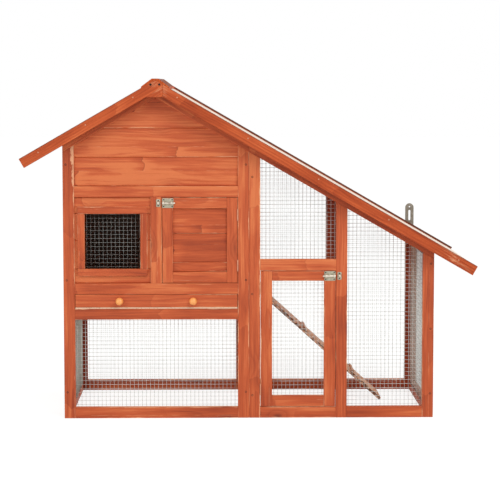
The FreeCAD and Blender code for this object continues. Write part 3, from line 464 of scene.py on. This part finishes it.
def mineralFelt(name, look):
    material, tree = newMaterial(name)
    place = addNode(tree, "TexCoord").outputs["Object"]
    chips = addNode(tree, "TexVoronoi", {"Vector": place, "Scale": 1000 / look["chipSize"]})
    worn = addNode(tree, "TexNoise", {"Vector": place, "Scale": 1000 / look["worn"], "Detail": 4.0})
    pick = addNode(tree, "SeparateColor", {0: chips.outputs["Color"]})
    chip = addNode(tree, "ValToRGB", {0: pick})
    setRamp(chip, look["chips"])
    starts, full = look["gap"]
    gap = addNode(tree, "MapRange", {0: chips, 1: starts, 2: full, 4: look["gapShows"]})
    gap = addNode(tree, "Math", {0: gap, 1: worn}, operation="MULTIPLY")
    colour = addNode(tree, "Mix", {0: gap, 6: chip, 7: linear(look["bitumen"])}, data_type="RGBA")
    bump = addNode(tree, "Bump", {"Strength": 0.5, "Distance": look["relief"] * mm, "Height": chips},
                   invert=True)
    smooth, rough = look["roughness"]
    roughness = addNode(tree, "MapRange", {0: worn, 3: smooth, 4: rough})
    shader = addNode(tree, "BsdfPrincipled", {"Base Color": colour, "Roughness": roughness, "Normal": bump})
    addNode(tree, "OutputMaterial", {0: shader})
    return material


felt = mineralFelt("felt_with_mineral_chips", feltLook)
print("materials made")


# a finished bmesh becomes a piece that stands for a CAD node and rides on that node's body
def addPiece(name, made, materials, node):
    mesh = bpy.data.meshes.new(name)
    made.to_mesh(mesh)
    made.free()
    for material in materials:
        mesh.materials.append(material)
    piece = bpy.data.objects.new(name, mesh)
    scene.collection.objects.link(piece)
    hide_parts(node)
    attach(piece, bodyOf[node])
    return piece


# the points and faces of each separate solid in a CAD node
def looseSolids(node):
    sameSpot = 0.01 * mm
    source = bmesh.new()
    source.from_mesh(nodes[node].data)
    bmesh.ops.remove_doubles(source, verts=source.verts, dist=sameSpot)
    left = set(source.verts)
    solids = []
    for first in source.verts:
        if first not in left:
            continue
        left.discard(first)
        queue = [first]
        found = []
        while queue:
            vert = queue.pop()
            found.append(vert)
            for edge in vert.link_edges:
                other = edge.other_vert(vert)
                if other in left:
                    left.discard(other)
                    queue.append(other)
        index = {vert: i for i, vert in enumerate(found)}
        faces = {face for vert in found for face in vert.link_faces}
        solids.append(([vert.co.copy() for vert in found],
                       [[index[v] for v in face.verts] for face in sorted(faces, key=lambda f: f.index)]))
    source.free()
    return solids


def solidPoints(node):
    return [points for points, faces in looseSolids(node)]


def spanOf(points):
    return [Vector([pick(p[i] for p in points) for i in range(3)]) for pick in (min, max)]


# Sticks and boards: every loose solid of a wood node becomes one length of timber with eased edges,
# which knows its own grain direction. Sizes are in mm, angles in degrees
timber = {
    "easedEdge": 1.3, "sharp": 25, "shortest": 5.0, "flatWithin": 1.0,
    "easedShare": 6,    # a thin stick is eased by one part in six of its thickness at most
    "sheet": 5.0,       # thinner wood is plywood, where a node has any
    "pith": (18, 70),   # how far the trunk's middle lies from a stick's face
    "offCentre": 30,    # and to its side, at most
    "trunk": 20,        # metres of pattern that a stick's own stretch is drawn from
    "toneSpread": 0.1,
    # tone offsets per node; the dark ones of rear_bargeboards, rear_posts and rear_rails are painted shade on
    # parts standing back under the roof
    "lighter": {"front_boards": 0.11, "house_head_rail": 0.18, "tray_front": 0.16, "tray_head_rail": 0.14,
                "run_left_post": 0.06, "front_left_post": -0.06, "run_middle_post": -0.1,
                "tray_sill_rail": -0.06, "right_front_bargeboard": -0.1, "run_head_rail": 0.38,
                "window_post": 0.09, "window_frame": 0.04, "run_door_frame": -0.03, "rear_bargeboards": -0.3,
                "rear_posts": -0.14, "rear_rails": -0.1},
    "byWindowLift": 0.2,    # painted light: the short boards round the window are lightened against the shade of the frame and head rail
    # the house's inner faces are darkened, as painted shade of the unlit inside
    "insideDarkening": {"rear_boards": -0.75, "left_end_boards": -0.75, "divider_boards": -0.75},
    "houseMiddle": Vector((-290, 0, 600)) * mm,
    # bare arrises, at the left or lower edge and at the right or upper one
    "wear": {"front_left_post": (0.2, 0.6), "front_boards": (0.5, 0.1), "window_post": (0.3, 0.3),
             "run_left_post": (0.2, 0.7), "run_middle_post": (0.3, 0.6), "window_frame": (0.7, 0.5),
             "run_head_rail": (0.9, 0.5), "front_top_rails": (0.1, 0.1), "house_head_rail": (0.1, 0.45),
             "house_door_frame": (0.2, 0.4)},
    "usualWear": (0.5, 0.45),
    "roofWear": (0.1, 0.1),
    # the left post still has bark edge near its top: heights, and how bare its right arris is there
    "wane": {"front_left_post": [(0, 0.5), (560, 0.5), (610, 1.2), (722, 1.2), (738, 3.4), (860, 3.4)]},
}
roofBoards = ("left_front_bargeboard", "right_front_bargeboard", "rear_bargeboards", "ridge_cap")
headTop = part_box("house_head_rail")[1].z


# a notched roof board keeps its faces, any other stick is the hull of its points
def stickMesh(points, faces, keepShape):
    stick = bmesh.new()
    verts = [stick.verts.new(p) for p in points]
    if keepShape:
        for face in faces:
            stick.faces.new([verts[i] for i in face])
    else:
        made = bmesh.ops.convex_hull(stick, input=verts)
        spare = {v for v in made["geom_interior"] + made["geom_unused"] if isinstance(v, bmesh.types.BMVert)}
        bmesh.ops.delete(stick, geom=list(spare), context="VERTS")
    flat = math.radians(timber["flatWithin"])
    bmesh.ops.dissolve_limit(stick, angle_limit=flat, verts=stick.verts, edges=stick.edges)
    bmesh.ops.recalc_face_normals(stick, faces=stick.faces)
    return stick


# directions along the grain, across the broad face and out of it
def grainFrame(stick):
    longest = max(stick.edges, key=lambda e: e.calc_length())
    along = (longest.verts[1].co - longest.verts[0].co).normalized()
    broad = max(stick.faces, key=lambda f: f.calc_area() * (1 - abs(f.normal.dot(along))))
    out = (broad.normal - along * broad.normal.dot(along)).normalized()
    return along, out.cross(along), out


def easeStick(stick, thick):
    edges = [e for e in stick.edges
             if len(e.link_faces) == 2 and math.degrees(e.calc_face_angle()) > timber["sharp"]
             and e.calc_length() > timber["shortest"] * mm]
    eased = min(timber["easedEdge"] * mm, thick / timber["easedShare"])
    bmesh.ops.bevel(stick, geom=edges, offset=eased, segments=2, profile=0.6, affect="EDGES",
                    clamp_overlap=True)


def waneAt(levels, height):
    for (low, less), (high, more) in zip(levels, levels[1:]):
        if height <= high:
            return less + (more - less) * (height - low) / (high - low)
    return levels[-1][1]


def makeTimber(node, *materials):
    whole = bmesh.new()
    grainLayer = whole.verts.layers.float_vector.new("grain")
    tones, sides, widths, wears = [whole.verts.layers.float.new("stick" + fact) for fact in stickFacts]
    onRoof = node in roofBoards
    wear, farWear = timber["wear"].get(node, timber["roofWear" if onRoof else "usualWear"])
    levels = timber["wane"].get(node, [])
    for number, (points, faces) in enumerate(looseSolids(node)):
        luck = random.Random(node + str(number))
        stick = stickMesh(points, faces, onRoof)
        axes = grainFrame(stick)
        along, across, out = axes
        spans = [sorted(v.co.dot(axis) for v in stick.verts) for axis in axes]
        lows = [span[0] for span in spans]
        wide, thick = [span[-1] - span[0] for span in spans[1:]]
        easeStick(stick, thick)
        for level in levels[1:-1]:
            everything = stick.verts[:] + stick.edges[:] + stick.faces[:]
            bmesh.ops.bisect_plane(stick, geom=everything, plane_co=(0, 0, level[0] * mm), plane_no=(0, 0, 1))
        pith = luck.choice((-1, 1)) * luck.uniform(*timber["pith"]) * mm
        stretch = luck.uniform(0, timber["trunk"])
        aside = luck.uniform(-timber["offCentre"], timber["offCentre"]) * mm
        offset = Vector((stretch, aside - wide / 2, pith))
        tone = luck.uniform(-1, 1) * timber["toneSpread"] + timber["lighter"].get(node, 0)
        # painted light on the front boards below the head rail
        if node == "front_boards" and max(p.z for p in points) < headTop:
            tone += timber["byWindowLift"]
        rightward = across.x + across.z > 0
        middle = timber["houseMiddle"].dot(out)
        innerFace = min((lows[2], lows[2] + thick), key=lambda level: abs(level - middle))
        copies = {}
        for vert in stick.verts:
            made = whole.verts.new(vert.co)
            local = Vector([vert.co.dot(axis) - low for axis, low in zip(axes, lows)])
            isInside = abs(vert.co.dot(out) - innerFace) < thick / 2
            share = local.y / wide if rightward else 1 - local.y / wide
            far = waneAt(levels, vert.co.z / mm) if levels else farWear
            made[grainLayer] = local + offset
            made[tones] = tone + (timber["insideDarkening"].get(node, 0) if isInside else 0)
            made[sides] = 2 * local.y / wide - 1
            made[widths] = wide / 2
            made[wears] = wear + (far - wear) * share
            copies[vert] = made
        for face in stick.faces:
            made = whole.faces.new([copies[v] for v in face.verts])
            made.material_index = 1 if len(materials) > 1 and thick < timber["sheet"] * mm else 0
        stick.free()
    addPiece(node + "_timber", whole, materials, node)


woodOf = {"ridge_cap": [capFir], "tray_box": [fir, ply]}
for node in sorted(nodes):
    if slotOf[node] == "stained_fir":
        makeTimber(node, *woodOf.get(node, [roofFir if node in roofBoards else fir]))
    elif slotOf[node] == "ramp_wood":
        makeTimber(node, rampFir)
print("timber made")


# Round shapes: a profile of (radius, reach) pairs spun round an axis, for wires, screws, nails and knobs
forward = Vector((0, -1, 0))
tiny = 1e-6  # metres; a thinner ring is a point


def spin(mesh, seat, outward, profile, steps, layer=0):
    aside = outward.orthogonal().normalized()
    other = outward.cross(aside)
    turns = [2 * math.pi * i / steps for i in range(steps)]
    rings = []
    for radius, reach in profile:
        centre = seat + outward * reach
        places = [centre + (aside * math.cos(t) + other * math.sin(t)) * radius for t in turns]
        rings.append([mesh.verts.new(place) for place in (places if radius > tiny else [centre])])
    for low, high in zip(rings, rings[1:]):
        for i in range(steps):
            j = (i + 1) % steps
            corners = [low[i % len(low)], low[j % len(low)], high[j % len(high)], high[i % len(high)]]
            face = mesh.faces.new(list(dict.fromkeys(corners)))
            face.smooth = True
            face.material_index = layer
    for ring in (rings[0], rings[-1]):
        if len(ring) > 1:
            mesh.faces.new(ring).material_index = layer


# the profile of a ball from its neck to its crown
def ballProfile(radius, centre, neckAngle, steps):
    angles = [math.radians(neckAngle + step * (90 - neckAngle) / steps) for step in range(steps)]
    return [(radius * math.cos(a), centre + radius * math.sin(a)) for a in angles] + [(0, centre + radius)]


# Welded wire mesh: straight wires, the level ones in front of the upright ones
wireNet = {
    "pitch": 12.7, "diameter": {"window_mesh": 0.36, "rear_mesh": 0.55, "end_mesh": 1.0}, "usual": 1.1,  # mm
    "inset": 1.0, "sides": 6, "shadedMeshes": ["end_mesh"],
    "apart": 0.9,  # of a diameter between two layers, as welded wires sink into each other
}


# the convex outline of flat points, anticlockwise
def outline2d(points):
    points = sorted(set((round(u, 6), round(v, 6)) for u, v in points))

    def half(ordered):
        kept = []
        for p in ordered:
            while len(kept) > 1 and ((kept[-1][0] - kept[-2][0]) * (p[1] - kept[-2][1])
                                     - (kept[-1][1] - kept[-2][1]) * (p[0] - kept[-2][0])) <= 0:
                kept.pop()
            kept.append(p)
        return kept[:-1]

    return half(points) + half(points[::-1])


# where a straight line at one place on an axis enters and leaves an outline
def crossing(outline, axis, place):
    hits = []
    for a, b in zip(outline, outline[1:] + outline[:1]):
        if (a[axis] - place) * (b[axis] - place) < 0:
            share = (place - a[axis]) / (b[axis] - a[axis])
            hits.append(a[1 - axis] + share * (b[1 - axis] - a[1 - axis]))
    return (min(hits), max(hits)) if len(hits) > 1 else (0, 0)


def makeNet(node):
    net = bmesh.new()
    pitch = wireNet["pitch"] * mm
    inset = wireNet["inset"] * mm
    radius = wireNet["diameter"].get(node, wireNet["usual"]) / 2 * mm
    for points in solidPoints(node):
        low, high = spanOf(points)
        flat = 0 if high.x - low.x < high.y - low.y else 1
        level = 1 - flat
        outline = outline2d([(p[level], p[2]) for p in points])
        for axis, layer in ((0, 1), (1, -1)):  # upright wires, then level ones
            depth = (low[flat] + high[flat]) / 2 + layer * wireNet["apart"] * radius
            first = min(p[axis] for p in outline) + inset
            last = max(p[axis] for p in outline) - inset
            for number in range(int((last - first) / pitch) + 1):
                place = first + number * pitch
                enters, leaves = crossing(outline, axis, place)
                if leaves - enters < pitch / 2:
                    continue
                ends = []
                for reach in (enters + inset / 2, leaves - inset / 2):
                    spot = Vector((0, 0, 0))
                    spot[flat] = depth
                    spot[level] = place if axis == 0 else reach
                    spot[2] = reach if axis == 0 else place
                    ends.append(spot)
                wire = ends[1] - ends[0]
                spin(net, ends[0], wire.normalized(), [(radius, 0), (radius, wire.length)], wireNet["sides"])
    bmesh.ops.recalc_face_normals(net, faces=net.faces)
    # the end meshes take the darker wire, as painted shade
    addPiece(node + "_wires", net, [shadedWire if node in wireNet["shadedMeshes"] else zincWire], node)


for node in sorted(nodes):
    if node.endswith("_mesh"):
        makeNet(node)
print("wire mesh made")


# where the head of each screw or nail lies, which way it faces and how long the whole is
def headPlaces(node):
    onEnd = 0.05 * mm
    for points in solidPoints(node):
        ends = []
        for pick, sign in ((min, -1), (max, 1)):
            level = pick(p.y for p in points)
            ring = [p for p in points if abs(p.y - level) < onEnd]
            centre = sum(ring, Vector()) / len(ring)
            ends.append((max((p - centre).length for p in ring), centre, Vector((0, sign, 0))))
        centre, outward = max(ends, key=lambda e: e[0])[1:]  # the head is the wider end
        yield centre, outward, abs(ends[0][1].y - ends[1][1].y)


# Black cross-head screws, their heads just proud of the stained posts, or a hair below the part's outermost
# faces. Sizes are in mm, the crown and the cross recess in shares of the head's radius and the recess's depth
screwHead = {"radius": 3.2, "proud": 0.3, "sunk": 0.05, "outermost": 0.5, "rim": 0.35, "depth": 3.0,
             "shaft": 1.9, "point": 4.0, "recess": 1.2, "steps": 16,
             "crown": 0.94, "recessMouth": 0.62, "recessFoot": (0.42, 0.75)}
screws = bmesh.new()
outermost = screwHead["outermost"] * mm
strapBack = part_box("anchor_strap")[1].y
for centre, outward, length in headPlaces("screws"):
    atEdge = centre.y > strapBack - outermost or centre.y < cadBox[0].y + outermost
    top = (-screwHead["sunk"] if atEdge else screwHead["proud"]) * mm
    radius = screwHead["radius"] * mm
    shaft = screwHead["shaft"] * mm
    recess = screwHead["recess"] * mm
    foot, footDepth = screwHead["recessFoot"]
    spin(screws, centre, outward, [
        (0, -length), (shaft, screwHead["point"] * mm - length), (shaft, -screwHead["depth"] * mm),
        (radius, top - screwHead["rim"] * mm), (screwHead["crown"] * radius, top),
        (screwHead["recessMouth"] * radius, top), (foot * radius, top - footDepth * recess),
        (0, top - recess)], screwHead["steps"])
bmesh.ops.recalc_face_normals(screws, faces=screws.faces)
addPiece("screws_black", screws, [blackSteel], "screws")

# Round nails through the bargeboards, heads a hair below the wood
nailHead = {"radius": 2.2, "sunk": 0.1, "edge": 0.3, "depth": 0.9, "shaft": 1.0, "point": 3.0,  # mm
            "dome": 0.05, "crown": 0.85, "steps": 14}
nails = bmesh.new()
for centre, outward, length in headPlaces("bargeboard_nails"):
    top = -nailHead["sunk"] * mm
    radius = nailHead["radius"] * mm
    shaft = nailHead["shaft"] * mm
    spin(nails, centre, outward, [
        (0, -length), (shaft, nailHead["point"] * mm - length), (shaft, top - nailHead["depth"] * mm),
        (radius, top - nailHead["edge"] * mm), (nailHead["crown"] * radius, top - nailHead["dome"] * mm),
        (0, top)], nailHead["steps"])
bmesh.ops.recalc_face_normals(nails, faces=nails.faces)
addPiece("bargeboard_nail_heads", nails, [nailSteel], "bargeboard_nails")

# Two turned knobs on the tray front: a ball on a short neck with a collar (radius and reach)
knob = {"ball": 12.0, "centre": 15.0, "neck": (5.0, 3.2), "collar": (5.4, 4.4),  # mm
        "neckAngle": -54, "bands": 14, "steps": 40}
knobs = bmesh.new()
for points in solidPoints("tray_knobs"):
    low, high = spanOf(points)
    seat = Vector(((low.x + high.x) / 2, high.y, (low.z + high.z) / 2))
    neck, neckReach = [size * mm for size in knob["neck"]]
    collar = tuple(size * mm for size in knob["collar"])
    ball = ballProfile(knob["ball"] * mm, knob["centre"] * mm, knob["neckAngle"], knob["bands"])
    spin(knobs, seat, forward, [(neck, 0), (neck, neckReach), collar] + ball, knob["steps"])
bmesh.ops.recalc_face_normals(knobs, faces=knobs.faces)
addPiece("tray_knobs_turned", knobs, [beech], "tray_knobs")
print("screws, nails and knobs made")


# Ironwork: pressed edges eased
ironwork = {"easedEdge": 0.35, "sharp": 40}  # mm and degrees


def easeEdges(part):
    ease = part.modifiers.new("easedEdges", "BEVEL")
    ease.width = ironwork["easedEdge"] * mm
    ease.segments = 2
    ease.limit_method = "ANGLE"
    ease.angle_limit = math.radians(ironwork["sharp"])


steelOf = {"anchor_strap": strapSteel, "hinge_fixed_leaves": hingeSteel, "hinge_pins": hingeSteel,
           "house_door_hinges": hingeSteel, "run_door_hinges": hingeSteel, "ramp_brackets": zincPlate,
           "ramp_rings": zincPlate, "ramp_rod": zincPlate}
for node, steel in steelOf.items():
    part = nodes[node]
    part.data.materials.clear()
    part.data.materials.append(steel)
    easeEdges(part)

# Barrel bolts: a pressed plate with two saddles, a round rod with a ball knob, and a keeper on the post.
# Sizes are in mm, and shapes are shares of the radius and of the height or length beside them
bolt = {
    "plate": 1.5, "corner": 3.0, "cornerSteps": 4,
    "saddle": 10.0, "saddleLength": 6.0, "wall": 1.7, "endLip": 3.0, "bend": 8,
    "screw": 2.1, "screwProud": 0.9, "screwInset": 4.4, "screwRoot": 0.5,
    "screwShape": [(1, 0.2), (0.75, 0.8), (0.4, 1), (0.3, 0.5), (0, 0.4)],
    "rod": 2.8, "tailEase": 0.2, "tip": 2.0, "tipShape": (0.7, 0.25),
    "knobStem": 1.5, "knobBall": 2.6, "knobReach": 9.0, "knobClear": 4.2, "neckAngle": -55, "bands": 8,
    "steps": 18, "screwLayer": 1, "highlightLayer": 2,
}


def addPlate(mesh, low, high):
    corner = bolt["corner"] * mm
    outline = []
    for x, z, start in ((high.x - corner, high.z - corner, 0), (low.x + corner, high.z - corner, 90),
                        (low.x + corner, low.z + corner, 180), (high.x - corner, low.z + corner, 270)):
        for step in range(bolt["cornerSteps"] + 1):
            turn = math.radians(start + 90 / bolt["cornerSteps"] * step)
            outline.append((x + corner * math.cos(turn), z + corner * math.sin(turn)))
    layers = [[mesh.verts.new((x, y, z)) for x, z in outline] for y in (high.y, high.y - bolt["plate"] * mm)]
    for layer in layers:
        mesh.faces.new(layer)
    for i in range(len(outline)):
        mesh.faces.new((layers[0][i - 1], layers[0][i], layers[1][i], layers[1][i - 1]))


def addSaddle(mesh, start, end, face, z):
    outer = bolt["saddle"] / 2 * mm
    rings = []
    for x in (start, end):
        for radius in (outer, outer - bolt["wall"] * mm):
            turns = [math.pi * i / bolt["bend"] for i in range(bolt["bend"] + 1)]
            arch = [(face - outer - radius * math.sin(t), z + radius * math.cos(t)) for t in turns]
            arch = [(face, z + radius)] + arch + [(face, z - radius)]
            rings.append([mesh.verts.new((x, y, height)) for y, height in arch])
    # the saddles take the palest zinc, a painted highlight
    for first, second in ((0, 1), (1, 3), (3, 2), (2, 0)):
        for i in range(1, len(rings[0])):
            corners = (rings[first][i - 1], rings[first][i], rings[second][i], rings[second][i - 1])
            mesh.faces.new(corners).material_index = bolt["highlightLayer"]


def addBoltScrews(mesh, places, face):
    radius = bolt["screw"] * mm
    proud = bolt["screwProud"] * mm
    profile = [(radius, -bolt["screwRoot"] * mm)]
    profile += [(share * radius, height * proud) for share, height in bolt["screwShape"]]
    for x, z in places:
        spin(mesh, Vector((x, face, z)), forward, profile, bolt["steps"], bolt["screwLayer"])


def keepBolt(name, made, node):
    bmesh.ops.recalc_face_normals(made, faces=made.faces)
    easeEdges(addPiece(name, made, [zincPlate, blackSteel, highlightZinc], node))


def makeBolt(door, toward):
    plateNode = door + "_bolt_plate"
    low, high = spanOf(sum(solidPoints(plateNode), []))
    face = high.y - bolt["plate"] * mm
    middle = (low.z + high.z) / 2
    inset = bolt["screwInset"] * mm
    lip = bolt["endLip"] * mm
    length = bolt["saddleLength"] * mm
    near, far = (high.x, low.x) if toward > 0 else (low.x, high.x)
    plate = bmesh.new()
    addPlate(plate, low, high)
    corners = [(x, z) for x in (low.x + inset, high.x - inset) for z in (low.z + inset, high.z - inset)]
    addBoltScrews(plate, corners, face)
    addSaddle(plate, near, near - toward * length, face, middle)
    addSaddle(plate, far + toward * lip, far + toward * (lip + length), face, middle)
    keepBolt(plateNode + "_pressed", plate, plateNode)

    rodNode = door + "_bolt"
    points = sum(solidPoints(rodNode), [])
    low, high = spanOf(points)
    thick = bolt["rod"] * mm
    axis = high.y - thick
    span = high.x - low.x
    tip = bolt["tip"] * mm
    ease = bolt["tailEase"]
    tipWidth, tipLength = bolt["tipShape"]
    rod = bmesh.new()
    tail = Vector((low.x if toward > 0 else high.x, axis, middle))
    spin(rod, tail, Vector((toward, 0, 0)), [
        (0, 0), ((1 - ease) * thick, 0), (thick, ease * thick), (thick, span - tip),
        (tipWidth * thick, span - tipLength * tip), (0, span)], bolt["steps"], bolt["highlightLayer"])
    knobPoints = [p.x for p in points if p.y < axis - bolt["knobClear"] * mm]
    seat = Vector(((min(knobPoints) + max(knobPoints)) / 2, axis, middle))
    ball = bolt["knobBall"] * mm
    stem = (bolt["knobStem"] * mm, thick / 2)
    profile = [stem] + ballProfile(ball, bolt["knobReach"] * mm - ball, bolt["neckAngle"], bolt["bands"])
    spin(rod, seat, forward, profile, bolt["steps"], bolt["highlightLayer"])
    keepBolt(rodNode + "_rod_and_knob", rod, rodNode)


makeBolt("house", -1)
makeBolt("run", 1)
keepers = bmesh.new()
for points in solidPoints("bolt_keepers"):
    low, high = spanOf(points)
    centre = (low + high) / 2
    face = high.y - bolt["plate"] * mm
    inset = bolt["screwInset"] * mm
    half = bolt["saddleLength"] / 2 * mm
    addPlate(keepers, low, high)
    addBoltScrews(keepers, [(centre.x, low.z + inset), (centre.x, high.z - inset)], face)
    addSaddle(keepers, centre.x - half, centre.x + half, face, centre.z)
keepBolt("bolt_keepers_pressed", keepers, "bolt_keepers")
nodes["roof_felt"].data.materials.clear()
nodes["roof_felt"].data.materials.append(felt)
print("ironwork and felt finished")


# what the eye meets, straight on or in a shine or through a clear thing
def seenRays(tree):
    ray = addNode(tree, "LightPath").outputs
    seen = ray["Is Camera Ray"]
    for other in ("Is Glossy Ray", "Is Transmission Ray"):
        seen = addNode(tree, "Math", {0: seen, 1: ray[other]}, operation="MAXIMUM")
    return seen


# Floor: pale matt paper that stays white to the eye and still takes the hutch's shadow
paper = {"colour": "#F2F2F0", "seen": "#8C8C8A", "lift": 0.85, "across": 60.0,  # metres
         "below": 0.3, "fibre": 25, "relief": 0.2}  # mm
half = paper["across"] / 2
floorMesh = bpy.data.meshes.new("studio_floor")
corners = [(-half, -half, 0), (half, -half, 0), (half, half, 0), (-half, half, 0)]
floorMesh.from_pydata(corners, [], [(0, 1, 2, 3)])
floor = bpy.data.objects.new("studio_floor", floorMesh)
scene.collection.objects.link(floor)
floor.location.z = -paper["below"] * mm
paperMaterial, tree = newMaterial("paper_matt_white")
fleck = addNode(tree, "TexNoise", {"Scale": 1000 / paper["fibre"], "Detail": 2.0})
bump = addNode(tree, "Bump", {"Strength": 0.03, "Distance": paper["relief"] * mm, "Height": fleck})
seen = seenRays(tree)
sheet = addNode(tree, "Mix", {0: seen, 6: linear(paper["colour"]), 7: linear(paper["seen"])},
                data_type="RGBA")
matt = addNode(tree, "BsdfDiffuse", {"Color": sheet, "Normal": bump})
lift = addNode(tree, "Math", {0: seen, 1: paper["lift"]}, operation="MULTIPLY")
glow = addNode(tree, "Emission", {"Strength": lift})
both = addNode(tree, "AddShader", {0: matt, 1: glow})
addNode(tree, "OutputMaterial", {0: both})
floorMesh.materials.append(paperMaterial)

# Soft studio light: a white room, a broad lamp above the camera's right, a weaker one at its left, one
# over the roof and a low one behind the right end that shines into the run
studio = {
    "room": 0.62,
    "aim": Vector((0, 0, 0.45)),
    "lamps": {  # watts, place and width in metres
        "key": (150, (2.4, -4.2, 4.4), 3.2),
        "fill": (60, (-3.4, -4.0, 2.6), 3.0),
        "top": (12, (0.2, 0.8, 4.2), 2.6),
        "run": (22, (3.0, 2.2, 1.3), 1.5),
    },
}
world = bpy.data.worlds.new("studio_room")
scene.world = world
world.use_nodes = True
tree = world.node_tree
tree.nodes.clear()
level = addNode(tree, "MapRange", {0: seenRays(tree), 3: studio["room"], 4: 1.0})
room = addNode(tree, "Background", {"Color": linear("#FFFFFF"), "Strength": level})
addNode(tree, "OutputWorld", {0: room})
for name, (power, place, width) in studio["lamps"].items():
    lampData = bpy.data.lights.new(name + "_lamp", "AREA")
    lampData.energy = power
    lampData.size = width
    lamp = bpy.data.objects.new(name + "_lamp", lampData)
    scene.collection.objects.link(lamp)
    lamp.location = place
    lamp.rotation_euler = (studio["aim"] - Vector(place)).to_track_quat("-Z", "Y").to_euler()
print("floor and light set")

# Camera: nearly square on, a little above the middle, with a long lens
viewpoint = {"place": (-0.1011, -5.8854, 1.0449),  # metres
             "down": 5.2354, "right": 1.0608,      # degrees
             "lens": 129.853, "sensor": 36}        # mm
cameraData = bpy.data.cameras.new("front_camera")
camera = bpy.data.objects.new("front_camera", cameraData)
scene.collection.objects.link(camera)
camera.location = viewpoint["place"]
camera.rotation_euler = (math.radians(90 - viewpoint["down"]), 0, math.radians(-viewpoint["right"]))
cameraData.lens = viewpoint["lens"]
cameraData.sensor_width = viewpoint["sensor"]
scene.camera = camera
scene.view_settings.view_transform = "Standard"
